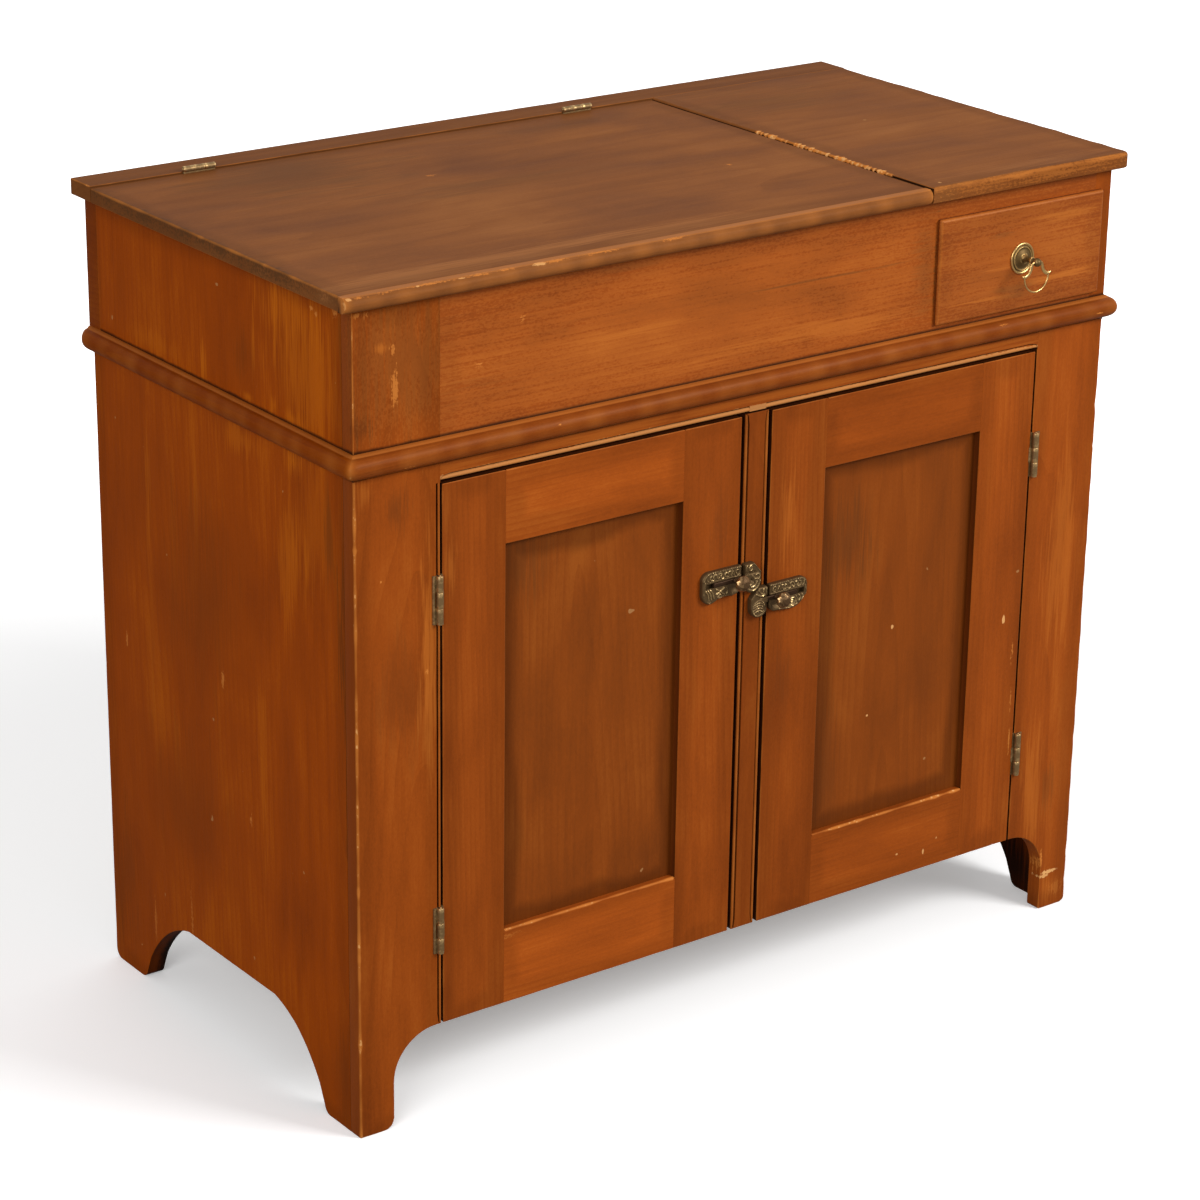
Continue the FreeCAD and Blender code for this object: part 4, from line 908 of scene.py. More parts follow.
# Near-black painted shade low on the inner faces, inside the feet and the arch
INNER_SHADE = [("shade_and_dirt", 13, 20, 400, 90, 0.97)]
side_marks = ([("glow", *mark) for mark in STREAKS] + [("shade", *mark) for mark in DULLED]
              + [("bare", *mark) for mark in NICKS])
SIDE_LOOK = {"clouds": 0.65, "streaks": 0.28, "sheen": 0.05, "contacts": MOULDING_LINES}
varnished_board("side_left", "yz", SIDE, 21, "side", "z", face=-HALF, rear=-SIDE_INNER,
                heart=(0.10, 0.30), lean=1.6, marks=side_marks + INNER_SHADE, **SIDE_LOOK)
varnished_board("side_right", "yz", SIDE, 22, "side", "z", face=HALF, rear=SIDE_INNER,
                heart=(0.10, -0.26), lean=-1.4, marks=INNER_SHADE, **SIDE_LOOK)
low, high = millimetres("upper_back")
varnished_board("upper_back", "xz",
                rectangle(low[0], high[0], low[2], high[2], ("soft", "soft", "joint", "soft")),
                23, "side", "x", face=high[1], rear=low[1], heart=(0.78, -0.20), depth=0.7)
print("sides and upper back are on")

# %% [markdown]
# ## The doors
#
# A door is a frame of four boards round a thin panel that floats in their
# grooves. Uprights run past the rails, so the joints show as short level lines.
# The panel lies deeper than the frame; stain has pooled round it, and it is
# browner than the frame.

# %% Two framed doors
PLANED = {"left": 1.4, "right": 1.1}


def hang_door(side, seed, depths, marks):
    """A door's two uprights, two rails and panel, each with its own depth of tone."""
    uprights = ["hinge_stile", "latch_stile"][::1 if side == "left" else -1]
    names = {part: f"door_{side}_{part}"
             for part in (*uprights, "top_rail", "bottom_rail", "panel")}
    (a0, _, z0), (a1, _, z1) = millimetres(names[uprights[0]])
    (b0, _, _), (b1, _, _) = millimetres(names[uprights[1]])
    rail_low = millimetres(names["bottom_rail"])[1][2]
    rail_high = millimetres(names["top_rail"])[0][2]
    # The latch stile was planed until the door shut freely
    if side == "left":
        b1 -= PLANED[side]
    else:
        a0 += PLANED[side]

    def fit(part, number, outline, grain, tone="front", **look):
        """One board of this door, with its own seed, depth and marks."""
        varnished_board(names[part], "xz", outline, seed + number, tone, grain,
                        depth=depths.get(part, 1.0), marks=marks.get(part, ()), **look)

    fit(uprights[0], 1, [(a0, z0, "soft"), (a1, z0, "joint"), (a1, rail_low, "soft"),
                         (a1, rail_high, "joint"), (a1, z1, "gap"), (a0, z1, "gap")],
        "z", heart=(-0.45, 0.1), lean=1.0)
    fit(uprights[1], 2, [(b0, z0, "soft"), (b1, z0, "gap"), (b1, z1, "gap"), (b0, z1, "joint"),
                         (b0, rail_high, "dark"), (b0, rail_low, "joint")],
        "z", heart=(0.36, 0.1), lean=1.0)
    for number, part, kinds in ((3, "top_rail", ("dark", "joint", "gap", "joint")),
                                (4, "bottom_rail", ("soft", "joint", "corner", "joint"))):
        low, high = millimetres(names[part])
        fit(part, number, rectangle(a1, b0, low[2], high[2], kinds), "x",
            heart=(0.55, 0.12), lean=0.7)
    low, high = millimetres(names["panel"])
    seen = ((a1 * MM, low[1] * MM, rail_low * MM), (b0 * MM, high[1] * MM, rail_high * MM))
    fit("panel", 5, rectangle(low[0], high[0], low[2], high[2], ("joint",) * 4), "z", "panel",
        body_box=seen, heart=((a1 + b0) / -2000, 0.20), lean=1.8, clouds=0.7, rim=0.45)


hang_door("left", 30, {"hinge_stile": 0.88, "latch_stile": 0.92, "top_rail": 1.09,
                       "bottom_rail": 1.22}, {
    "hinge_stile": [("glow", -376, 596, 7, 31, 0.5), ("glow", -380, 660, 4, 26, 0.3)],
    "panel": [("shade", -285, 584, 37, 43, 0.4)],
    "latch_stile": [("shade", -40, 560, 12, 60, 0.4)],
    "bottom_rail": [("bare", -309, 178, 18, 2, 0.4)]})
hang_door("right", 40, {"hinge_stile": 1.0, "latch_stile": 0.85, "top_rail": 0.96,
                        "bottom_rail": 1.02}, {
    "panel": [("torn", 208, 403, 2, 2.6, 0.8), ("torn", 177, 306, 1.6, 1.4, 0.8),
              ("shade", 140, 514, 30, 60, 0.5), ("shade", 120, 260, 20, 90, 0.3)],
    "latch_stile": [("glow", 50, 560, 10, 60, 0.4), ("shade", 45, 380, 14, 60, 0.4)],
    "hinge_stile": [("torn", 365, 379, 2, 5, 0.9), ("bare", 381, 341, 1.5, 15, 0.8),
                    ("bare", 383, 280, 1.5, 20, 0.7), ("bare", 384, 231, 1.5, 15, 0.8)],
    "bottom_rail": [("torn", 262, 123, 1.4, 4, 0.8), ("torn", 223, 130, 1.6, 1.4, 0.7),
                    ("torn", 281, 135, 1.6, 1.2, 0.6)]})
print("doors hung, boards so far:", len(dressed))

# %% [markdown]
# ## The tops
#
# The lid is one wide board with a half-round strip along its front. Behind it
# a narrow fixed board carries the hinges, and on the right a fixed board covers
# the drawer. The edge where the lid meets that board has been knocked for
# years, and pale splinters are missing from it.

# %% Lid, hinge rail and fixed top
LID_HINGES = (-374.0, 113.0)
TOP_RIGHT, TOP_FRONT = 502.5, -251.65
TOP_LOOK = {"sheen": 0.03, "gloss": 0.52}
low, high = millimetres("lid_board")
# The large shade mark at the back left, at x -300, is painted shade where the light falls off
varnished_board("lid_board", "xy",
                rectangle(low[0], high[0], low[1], high[1], ("seam", "blunt", "seam", "round")),
                51, "top", "x", face=high[2], rear=low[2], heart=(0.30, 0.05), lean=1.0,
                clouds=0.85, **TOP_LOOK,
                marks=[("shade", -300, 170, 120, 90, 0.5), ("shade", -140, 20, 130, 30, 0.35),
                       ("shade", -505, 0, 8, 500, 0.8), ("glow", -300, -216, 260, 20, 0.9),
                       ("bare", -182, 84, 5, 3, 0.6), ("bare", 108, -50, 3, 3, 0.7),
                       ("glow", -420, -215, 60, 14, 0.4), ("shade", 60, 190, 120, 20, 0.3)])
low, high = millimetres("top_back_rail")
hinge_runs = [(x + reach, low[1], kind) for x in LID_HINGES
              for reach, kind in ((-20, "scoop"), (20, "seam"))]
varnished_board("top_back_rail", "xy",
                [(low[0], low[1], "seam")] + hinge_runs +
                [(high[0], low[1], "worn"), (high[0], high[1], "soft"), (low[0], high[1], "worn")],
                52, "top", "x", face=high[2], rear=low[2], heart=(0.35, 0.10), depth=0.9,
                **TOP_LOOK)
low, high = millimetres("drawer_top")
round_corner = curve_points((TOP_RIGHT - 11, TOP_FRONT + 11), 11, -90, 0, "nosed", 7)
varnished_board("drawer_top", "xy",
                [(low[0], TOP_FRONT, "nosed")] + round_corner +
                [(TOP_RIGHT, high[1], "seam"), (low[0], high[1], "blunt"),
                 (low[0], 45.0, "chipped"), (low[0], -185.0, "gap")],
                53, "top", "x", face=high[2], rear=low[2], heart=(0.24, -0.20), lean=1.2,
                clouds=0.8, **TOP_LOOK,
                marks=[("torn", 240, -236, 2, 2, 0.8), ("glow", 380, -228, 120, 16, 0.5),
                       ("bare", 370, -252, 140, 4, 0.4), ("side", 370, -252, 140, 4, 0.2),
                       ("shade", 320, 150, 120, 60, 0.4)])
print("tops made, boards so far:", len(dressed))

# %% [markdown]
# ## Strips carried along a line
#
# The lid's nosing and the waist moulding are one cross-section carried along a
# straight line, with the ends cut square or on a mitre. The section is given as
# pairs of how far out and how far up. The strip's hand-planed face wanders a
# little, by a slow noise that is added to the way out.

# %% The strip maker
WANDER, WORN_END = 0.12, 10


def strip(name, section, place, start, end, seed, crest, count):
    """A strip: point (s, t) = section(t) carried from start(out) to end(out).

    start and end map how far out a point is to where its end lies, so an end
    that moves by as much as the point is out makes a mitre. place turns
    (along, out, up) into x, y and z. Above the height crest it is rubbed, and
    towards each end, over WORN_END, it gets a fifth thinner, as handling leaves it.
    """
    out, up = np.array(section, float).T
    first, last = start(np.zeros(1))[0], end(np.zeros(1))[0]
    near = np.array([0, 0.8, 1.8, 3.2, 5.0, 7.4])
    reach = last - first
    steps = np.concatenate([near, np.linspace(WORN_END, reach - WORN_END, count),
                            reach - near[::-1]])
    to_end = np.clip(1 - np.minimum(steps, reach - steps) / WORN_END, 0, 1)[:, None]
    eased_out = out * (1 - 0.2 * to_end ** 2)
    share = (steps / reach)[:, None]
    along = start(eased_out) * (1 - share) + end(eased_out) * share
    run = along[:, 0]
    sway = slow_noise(run, seed, (47.0, 90.0, 160.0, 310.0))[:, None] * WANDER
    firm = np.clip(out / out.max(), 0, 1)[None]
    points = np.stack(place(along, eased_out + sway * firm, up + 0 * along), -1)
    rubbed = slow_noise(run, seed + 5, (31.0, 53.0, 97.0))[:, None]
    worn = np.clip(firm * (0.35 + 0.6 * rubbed), 0, 1) * 0.3
    # The row where the strip meets the board below is marked -1 and painted dark: painted shade in
    # the crease, with some dirt
    worn = worn + 0.5 * (up > crest) + 0.7 * firm * to_end ** 2 - ((out < 0.3) & (up < 2))
    return into_mesh(name, points.reshape(-1, 3), tube_faces(len(steps), len(out)), worn, sharp=50)


def smooth_section(points, count=28):
    """More points on a section, by a curve that passes through the ones given."""
    points = np.array(points, float)
    n = len(points)
    padded = np.vstack([2 * points[0] - points[1], points, 2 * points[-1] - points[-2]])
    t = np.linspace(0, n - 1, count)
    i = np.minimum(t.astype(int), n - 2)
    f = (t - i)[:, None]
    a, b, c, d = (padded[i + k] for k in range(4))
    return 0.5 * (2 * b + (c - a) * f + (2 * a - 5 * b + 4 * c - d) * f ** 2
                  + (3 * b - a - 3 * c + d) * f ** 3)


print("strip maker ready")

# %% Waist moulding and lid nosing
MOULDING = np.vstack([[(0.0, MOULDING_TALL)],
                      smooth_section([(0.5, MOULDING_TALL), (3.0, 23.3), (4.6, 21.9), (8.4, 20.6),
                                      (11.8, 17.2), (13.45, 12.4), (13.0, 7.6), (10.8, 3.8),
                                      (7.6, 1.4), (4.6, 0.15)], 34), [(0.0, 0.0)]])
FRONT_Y, BACK_Y, CREST = -238.65, 271.35, 21.8
NOSING_OUT, ARRIS = 15, 0.7
MOULDING_CHIPS = [(-499, 725, 3), (-430, 715, 5), (-256, 726, 4), (210, 714, 7), (330, 729, 4),
                  (470, 719, 5)]
strip_front = strip("waist_molding_front_strip", MOULDING,
                    lambda s, out, up: (s, FRONT_Y - out, MOULDING_LOW + up),
                    lambda out: -HALF - out, lambda out: HALF + out, 61, CREST, count=160)
dress(strip_front, "waist_molding_front",
      varnished("waist_molding_front_varnish", "front", "x", 61, box_of(strip_front),
                heart=(0.75, 0.2), depth=0.67, clouds=0.42, rim=0.05, gloss=0.40, sheen=0.11,
                wear=0.8,
                marks=on_face("xz", -252.1, 3, [("bare", x, z, half, 0.9, 0.9)
                                                for x, z, half in MOULDING_CHIPS])))
for side, sign in (("left", -1), ("right", 1)):
    node = f"waist_molding_{side}"
    piece = strip(node + "_strip", MOULDING,
                  lambda s, out, up: (sign * (HALF + out), s, MOULDING_LOW + up),
                  lambda out: FRONT_Y - out, lambda out: BACK_Y + 0 * out, 62 + sign, CREST,
                  count=90)
    dress(piece, node, varnished(node + "_varnish", "side", "y", 62 + sign, box_of(piece),
                                 heart=(0.1, 0.8), depth=0.64, rim=0.05, gloss=0.44,
                                 sheen=0.05, wear=0.8))

low, high = millimetres("lid_nosing")
tall = high[2] - low[2]
turns = np.radians(np.linspace(90, -90, 22))
half = tall / 2 - ARRIS
NOSING = np.vstack([[(0.0, tall)],
                    np.stack([NOSING_OUT - half + half * np.cos(turns),
                              tall - half + half * np.sin(turns)], 1), [(0.0, 2 * ARRIS)]])
nosing = strip("lid_nosing_strip", NOSING,
               lambda s, out, up: (s, high[1] - out, low[2] + up),
               lambda out: low[0] + 0 * out, lambda out: high[0] + 0 * out, 65, tall - ARRIS,
               count=140)
# Where the nosing's top arris is rubbed or split: kind, x, half width, half height
NOSING_CHIPS = (("torn", -498, 4, 1.6), ("bare", -486, 10, 1.2), ("bare", -458, 16, 0.9),
                ("bare", -405, 26, 0.9), ("torn", -421, 3, 0.8), ("bare", -352, 14, 1.0),
                ("torn", -371, 5, 0.7), ("bare", -318, 9, 0.8), ("torn", -281, 9, 1.7),
                ("bare", -262, 12, 1.0), ("bare", -204, 22, 0.8), ("bare", -118, 15, 0.8))
dress(nosing, "lid_nosing",
      varnished("lid_nosing_varnish", "top", "x", 65, box_of(nosing), heart=(0.88, 0.26),
                depth=0.93, clouds=0.42, rim=0.05, gloss=0.44, sheen=0.06,
                marks=on_face("xz", -251.7, 4, [(kind, x, 892.4, wide, tall, 0.75)
                                                for kind, x, wide, tall in NOSING_CHIPS])))
print("strips:", strip_front.name, nosing.name)

# %% [markdown]
# ## The drawer front
#
# The front is rebated all round, so a thin lip covers the gap in the frame.
# Its face is one lively board with level grain. Behind the lip the body is a
# hair shorter than the sides' tails, which is how old dovetails stand once the
# wood has shrunk.

# %% Drawer front with its lip
def joined_pieces(name, pieces):
    """One object from several, with their worn marks kept."""
    shell = bmesh.new()
    for piece in pieces:
        shell.from_mesh(piece.data)
    mesh = bpy.data.meshes.new(name)
    shell.to_mesh(mesh)
    shell.free()
    for piece in pieces:
        bpy.data.objects.remove(piece, do_unlink=True)
    return show(bpy.data.objects.new(name, mesh))


CORE = (247.7, 462.7, 749.0, 847.0)
low, high = millimetres("drawer_front")
lip = board("lip", "xz", rectangle(low[0], high[0], low[2], high[2], ("lip",) * 4),
            low[1], FRONT_Y, 71, corner=2.0)
core = board("core", "xz", rectangle(*CORE, ("soft", "joint", "soft", "joint")),
             FRONT_Y, high[1], 72)
drawer_face = joined_pieces("drawer_front_board", [lip, core])
# The shade mark at x 350 under the pull is a painted shadow of the pull
DRAWER_MARKS = [("glow", 423, 836, 45, 4, 0.6), ("glow", 414, 770, 60, 6, 0.7),
                ("glow", 314, 759, 44, 3, 0.5), ("shade", 323, 829, 20, 4, 0.5),
                ("shade", 350, 764, 24, 9, 0.6), ("glow", 330, 790, 30, 3, 0.4),
                ("bare", 345, 798, 140, 80, 0.15)]
dress(drawer_face, "drawer_front",
      varnished("drawer_front_varnish", "front", "x", 71, box_of(drawer_face),
                heart=(0.80, 0.26), lean=2.2, depth=0.89, rim=0.12, streaks=0.35, sheen=0.32,
                marks=on_face("xz", low[1], 10, DRAWER_MARKS)))
print("drawer front is", round((high[0] - low[0]) * MM, 3), "m wide")

# %% [markdown]
# ## Metal finishes
#
# Old brass dulls to an olive brown and stays bright only where hands and
# doors rub it. The castings of the catches were bronzed nearly black and show
# brassy ridges. Each finish mixes a dark coat with the bare metal, led by the
# same mark of wear that the makers write on every point.

# %% The metal maker
METALS = {  # bare metal, coat, seed, how much is rubbed bare, how rough bare metal is
    "hinge_brass": ((0.60, 0.40, 0.18), (0.23, 0.138, 0.055), 3, 0.5, 0.42),
    "catch_bronze": ((0.58, 0.40, 0.18), (0.125, 0.073, 0.028), 5, 0.42, 0.36),
    "bar_bronze": ((0.24, 0.12, 0.045), (0.050, 0.022, 0.008), 6, 0.2, 0.42),
    "knob_bronze": ((0.50, 0.31, 0.14), (0.105, 0.054, 0.020), 6, 0.35, 0.28),
    "pull_brass": ((0.74, 0.48, 0.18), (0.14, 0.080, 0.024), 7, 0.58, 0.31)}


def metal(name, bare, coat, seed, rub, shine):
    """Coated metal, bared where the piece is marked as worn and where noise says so."""
    finish, tree, shader = blank_finish(name)
    shifted = vector_maths(tree, "ADD", own_place(tree), (seed * 0.37, seed * 0.73, 0.0))
    mottle = noise(tree, shifted, 225.0, 4.0, 0.6)
    fine = noise(tree, shifted, 1440.0)
    worn = add(tree, "ShaderNodeAttribute", attribute_name="worn").outputs["Fac"]
    patchy = maths(tree, "MULTIPLY", maths(tree, "SUBTRACT", mottle, 0.5), 1.4)
    bared = ramp_between(tree, maths(tree, "ADD", worn, patchy), 0.9 - rub * 0.8, 1.35 - rub * 0.8)
    for socket, value in (
            ("Base Color", mix_colour(tree, bared, (*coat, 1.0), (*bare, 1.0))),
            ("Roughness", ramp_between(tree, bared, 0.0, 1.0, 0.55, shine)),
            ("Metallic", ramp_between(tree, bared, 0.0, 1.0, 0.75, 1.0)),
            ("Normal", add(tree, "ShaderNodeBump", {"Height": fine, "Strength": 0.18,
                                                    "Distance": 0.0002}).outputs["Normal"])):
        tree.links.new(value, shader.inputs[socket])
    return finish


HINGE_METAL, CATCH_METAL, BAR_METAL, KNOB_METAL, PULL_METAL = (
    metal(name, *values) for name, values in METALS.items())
print("metals:", sorted(METALS))

# %% [markdown]
# ## Small metal shapes
#
# Three makers cover the fittings: a turned shape, from a profile spun round a
# line; a drawn shape, from a ring carried along a bent path; and a leaf, a thin
# plate with countersunk holes and screws in them.

# %% Turned and drawn shapes
def frame_of(direction):
    """Two unit vectors square to a direction and to each other."""
    direction = np.asarray(direction, float) / np.linalg.norm(direction)
    helper = np.array([0.0, 0.0, 1.0]) if abs(direction[2]) < 0.9 else np.array([1.0, 0.0, 0.0])
    first = np.cross(helper, direction)
    first /= np.linalg.norm(first)
    return first, np.cross(direction, first)


def spun(name, profile, origin, direction, turns, worn):
    """A turned shape: point (k, t) = origin + along(k) * line + radius(k) * (cos t, sin t)."""
    profile = np.asarray(profile, float)
    direction = np.asarray(direction, float) / np.linalg.norm(direction)
    first, second = frame_of(direction)
    angle = np.linspace(0, 2 * np.pi, turns, endpoint=False)
    ring = np.cos(angle)[:, None] * first + np.sin(angle)[:, None] * second
    points = (np.asarray(origin, float) + profile[:, 1, None, None] * direction
              + profile[:, 0, None, None] * ring[None])
    return into_mesh(name, points.reshape(-1, 3), tube_faces(len(profile), turns),
                     np.repeat(worn, turns), sharp=42)


def drawn(name, path, wide, thick, sides, worn):
    """A bar along a path: an oval ring, wide by thick, square to the path at every step."""
    path = np.asarray(path, float)
    wide, thick = wide * np.ones(len(path)), thick * np.ones(len(path))
    along = np.gradient(path, axis=0)
    along /= np.linalg.norm(along, axis=1)[:, None]
    across = np.cross(along, (0.0, -1.0, 0.0))
    across /= np.linalg.norm(across, axis=1)[:, None]
    over = np.cross(across, along)
    angle = np.linspace(0, 2 * np.pi, sides, endpoint=False)
    points = (path[:, None] + np.cos(angle)[None, :, None] * across[:, None] * wide[:, None, None]
              + np.sin(angle)[None, :, None] * over[:, None] * thick[:, None, None])
    return into_mesh(name, points.reshape(-1, 3), tube_faces(len(path), sides),
                     np.full(len(path) * sides, worn), sharp=50)


def through(points, count):
    """A smooth path through a few points in space, worked out one direction at a time."""
    return np.stack([smooth_section(np.stack([way, way], 1), count)[:, 1]
                     for way in np.array(points, float).T], 1)


print("turned and drawn shapes ready")

# %% Leaves with screws
RING, SCREW, SLOT, SLOT_DEPTH, SUNK = 20, 2.45, 0.38, 0.55, 0.06


def ring_of(centre, radius):
    """A round hole's points."""
    angle = np.linspace(0, 2 * np.pi, RING, endpoint=False)
    return np.asarray(centre, float) + radius * np.stack([np.cos(angle), np.sin(angle)], 1)


def leaf(name, place, a0, a1, b0, b1, thick, holes, screw_seed):
    """A thin plate from depth 0 (seen face) to thick, with countersunk slotted screws.

    place turns (a, b, depth) into x, y and z. A hole is a cone, wide at the
    face and narrow at the back.
    """
    outer = np.array([(a, b0) for a in np.linspace(a0, a1, 6)[:-1]]
                     + [(a1, b) for b in np.linspace(b0, b1, 12)[:-1]]
                     + [(a, b1) for a in np.linspace(a1, a0, 6)[:-1]]
                     + [(a0, b) for b in np.linspace(b1, b0, 12)[:-1]])
    points, faces = [], []
    for depth, radius in ((0.0, 2.6), (thick, 1.5)):
        rings = [outer] + [ring_of(h, radius) for h in holes]
        faces += filled(rings, len(points))
        points += [(*p, depth) for p in np.vstack(rings)]
    count, step = len(outer), len(points) // 2
    starts = [(0, count)] + [(count + RING * k, RING) for k in range(len(holes))]
    for first, size in starts:
        for i in range(size):
            j = (i + 1) % size
            faces.append([first + i, first + j, step + first + j, step + first + i])
    spots = np.array(points)
    plate = into_mesh(name, np.stack(place(*spots.T), 1), faces, np.full(len(spots), 0.45), 30)
    pieces = [plate]
    luck = np.random.default_rng(screw_seed)
    for hole in holes:
        pieces.append(screw_head(hole, place, luck.uniform(0, np.pi)))
    return pieces


def screw_head(centre, place, turn):
    """A slotted head: columns of points cross the disc square to the slot, which drops down.

    Column c stands at distance s(c) from the slot's middle line, and its points
    run over the chord of the disc there; depth is SUNK, plus SLOT_DEPTH in the
    slot.
    """
    half = SLOT / SCREW
    s = np.array([-0.98, -0.86, -0.6, -0.35, -half - 0.02, -half,
                  half, half + 0.02, 0.35, 0.6, 0.86, 0.98])[:, None]
    in_slot = (np.abs(s) == half) * np.ones(9)
    x = s * SCREW * np.ones(9)
    y = np.sqrt(1 - s ** 2) * np.linspace(-1, 1, 9) * SCREW
    a = centre[0] + x * np.cos(turn) - y * np.sin(turn)
    b = centre[1] + x * np.sin(turn) + y * np.cos(turn)
    spots = np.stack([np.stack([a, b, depth], -1) for depth in
                      (SUNK + in_slot * SLOT_DEPTH, np.full_like(a, SUNK + 0.8))]).reshape(-1, 3)
    number = np.arange(a.size).reshape(a.shape)
    edge = np.concatenate([number[:, 0], number[-1, 1:], number[-2::-1, -1],
                           number[0, -2:0:-1]]).tolist()
    top = grid_faces(*a.shape)
    wall = [[here, after, a.size + after, a.size + here]
            for here, after in zip(edge, edge[1:] + edge[:1])]
    base = [[a.size + v for v in face] for face in top]
    worn = np.concatenate([np.where(in_slot, 0.0, 0.55).ravel(), np.zeros(a.size)])
    return into_mesh("screw", np.stack(place(*spots.T), 1), top + wall + base, worn, 40)


print("leaf maker ready")

# %% [markdown]
# ## Door hinges
#
# Butt hinges with three knuckles: the outer two belong to the frame's leaf, the
# middle one to the door's. The barrel stands proud on the bead, and beside it
# the leaves show as narrow strips with a dark slot between strip and knuckle.

# %% Door hinges
def knuckle(name, origin, direction, start, end, radius, bore):
    """A rolled knuckle: a short tube with eased ends round its pin, brighter at the ends."""
    ease = 0.45
    profile = [(bore, start), (radius - ease, start), (radius - 0.13, start + 0.16),
               (radius, start + ease), (radius, start + (end - start) * 0.3),
               (radius * 0.985, (start + end) / 2), (radius, start + (end - start) * 0.7),
               (radius, end - ease), (radius - 0.13, end - 0.16), (radius - ease, end), (bore, end)]
    worn = [0.3, 1.0, 1.0, 0.85, 0.5, 0.42, 0.5, 0.85, 1.0, 1.0, 0.3]
    return spun(name, profile, origin, direction, 28, worn)


def pin(name, origin, direction, start, end, radius):
    """A plain pin with rounded tips."""
    bulge = np.radians(np.linspace(90, 0, 6))
    tip = [(radius * math.sin(math.pi / 2 - t) + 1e-3, 0.7 * math.sin(t)) for t in bulge]
    profile = [(r, start + 0.7 - rise) for r, rise in tip] + \
              [(r, end - 0.7 + rise) for r, rise in tip[::-1]]
    return spun(name, profile, origin, direction, 20, [0.9] * len(profile))


def barrel(origin, line, length, radius, bore):
    """Two outer knuckles, the middle one and the pin, with the knuckles' starts and ends."""
    half, third, gap = length / 2, length / 6, KNUCKLE_GAP / 2
    spans = [(-half, -third - gap), (third + gap, half), (-third + gap, third - gap)]
    knuckles = [knuckle("k", origin, line, *span, radius, bore) for span in spans]
    return knuckles, pin("p", origin, line, -half - 0.8, half + 0.8, bore - 0.04), spans


def shoulder(barrel_x, near, far, z0, z1, high_y):
    """A strip of leaf that lies on the wood beside the barrel, rounded over its edges."""
    x0, x1 = sorted((barrel_x + near, barrel_x + far))
    across = np.linspace(0, 1, 9)
    bulge = np.clip(np.minimum(across, 1 - across) * 5, 0, 1)
    section = [(x0 + (x1 - x0) * s, FRONT_Y - high_y * math.sqrt(1 - (1 - b) ** 2) - 0.02)
               for s, b in zip(across, bulge)] + [(x1, FRONT_Y + 0.3), (x0, FRONT_Y + 0.3)]
    levels = (z0, z0 + 0.3, (z0 + z1) / 2, z1 - 0.3, z1)
    points = [(x, y, z) for z in levels for x, y in section]
    return into_mesh("strip", points, tube_faces(len(levels), len(section)),
                     np.full(len(points), 0.62), 35)


def metal_pieces(nodes_and_parts):
    """Joins each node's parts into one piece of hinge metal."""
    for node, parts in nodes_and_parts:
        dress(joined_pieces(node + "_brass", parts), node, HINGE_METAL)


KNUCKLE_GAP = 0.25
DOOR_HINGES, HINGE_LENGTH, BARREL, BORE, BARREL_Y = (210.0, 568.0), 50.8, 3.57, 1.53, -241.65
LEAF_START, LEAF_END, LEAF = -238.9, -221.65, 1.15
# The door's side, which way its opening lies, and the x of barrel and both leaves' seats
for side, sign, barrel_x, frame_edge, door_edge in (("left", 1, -390.65, -388.0, -385.5),
                                                    ("right", -1, 394.65, 392.0, 389.5)):
    frame_parts, door_parts, pins = [], [], []
    for level in DOOR_HINGES:
        knuckles, middle_pin, spans = barrel((barrel_x, BARREL_Y, level), (0, 0, 1),
                                             HINGE_LENGTH, BARREL, BORE)
        pins.append(middle_pin)
        z0, z1 = level - HINGE_LENGTH / 2, level + HINGE_LENGTH / 2
        spots = [(-226.0, level - 17.5), (-229.5, level), (-226.0, level + 17.5)]
        leaves = [leaf("leaf", lambda y, z, d: (edge + way * (LEAF - d), y, z),
                       LEAF_START, LEAF_END, z0, z1, LEAF, spots, int(level) + number)
                  for number, edge, way in ((0, frame_edge, sign), (1, door_edge, -sign))]
        outer = [shoulder(barrel_x, -sign * 4.4, -sign * 0.5, level + start, level + end, 1.6)
                 for start, end in spans[:2]]
        frame_parts += [*knuckles[:2], *leaves[0],
                        shoulder(barrel_x, -sign * 7.2, -sign * 3.9, z0, z1, 1.5), *outer]
        door_parts += [knuckles[2], *leaves[1],
                       shoulder(barrel_x, sign * 1.0, sign * 6.6,
                                level + spans[2][0], level + spans[2][1], 1.2)]
    metal_pieces(((f"door_{side}_frame_leaves", frame_parts),
                  (f"door_{side}_hinge_leaves", door_parts), (f"door_{side}_hinge_pins", pins)))
print("door hinges: 4, each with 3 knuckles and 6 screws")

# %% [markdown]
# ## Lid hinges
#
# The lid swings on two smaller butts set in the seam behind it. Their barrels
# lie just above the wood, and the hollow cut for them shows dark in front.

# %% Lid hinges
LID_AXIS_Y, LID_AXIS_Z, LID_LENGTH, LID_BARREL, LID_BORE = 231.35, 897.5, 38.0, 3.17, 1.43
LID_LEAF_LOW, LID_LEAF_HIGH, LID_LEAF = 881.0, 895.2, 1.0
rail_parts, lid_parts, pins = [], [], []
for x in LID_HINGES:
    knuckles, middle_pin, _ = barrel((x, LID_AXIS_Y, LID_AXIS_Z), (1, 0, 0),
                                     LID_LENGTH, LID_BARREL, LID_BORE)
    pins.append(middle_pin)
    spots = [(x - 12.5, 886.0), (x, 888.5), (x + 12.5, 886.0)]
    for parts, own, way, seed in ((rail_parts, knuckles[:2], 1, 90),
                                  (lid_parts, knuckles[2:], -1, 91)):
        parts += own + leaf("leaf", lambda a, z, d: (a, LID_AXIS_Y + way * (0.05 + d), z),
                            x - LID_LENGTH / 2, x + LID_LENGTH / 2, LID_LEAF_LOW, LID_LEAF_HIGH,
                            LID_LEAF, spots, seed)
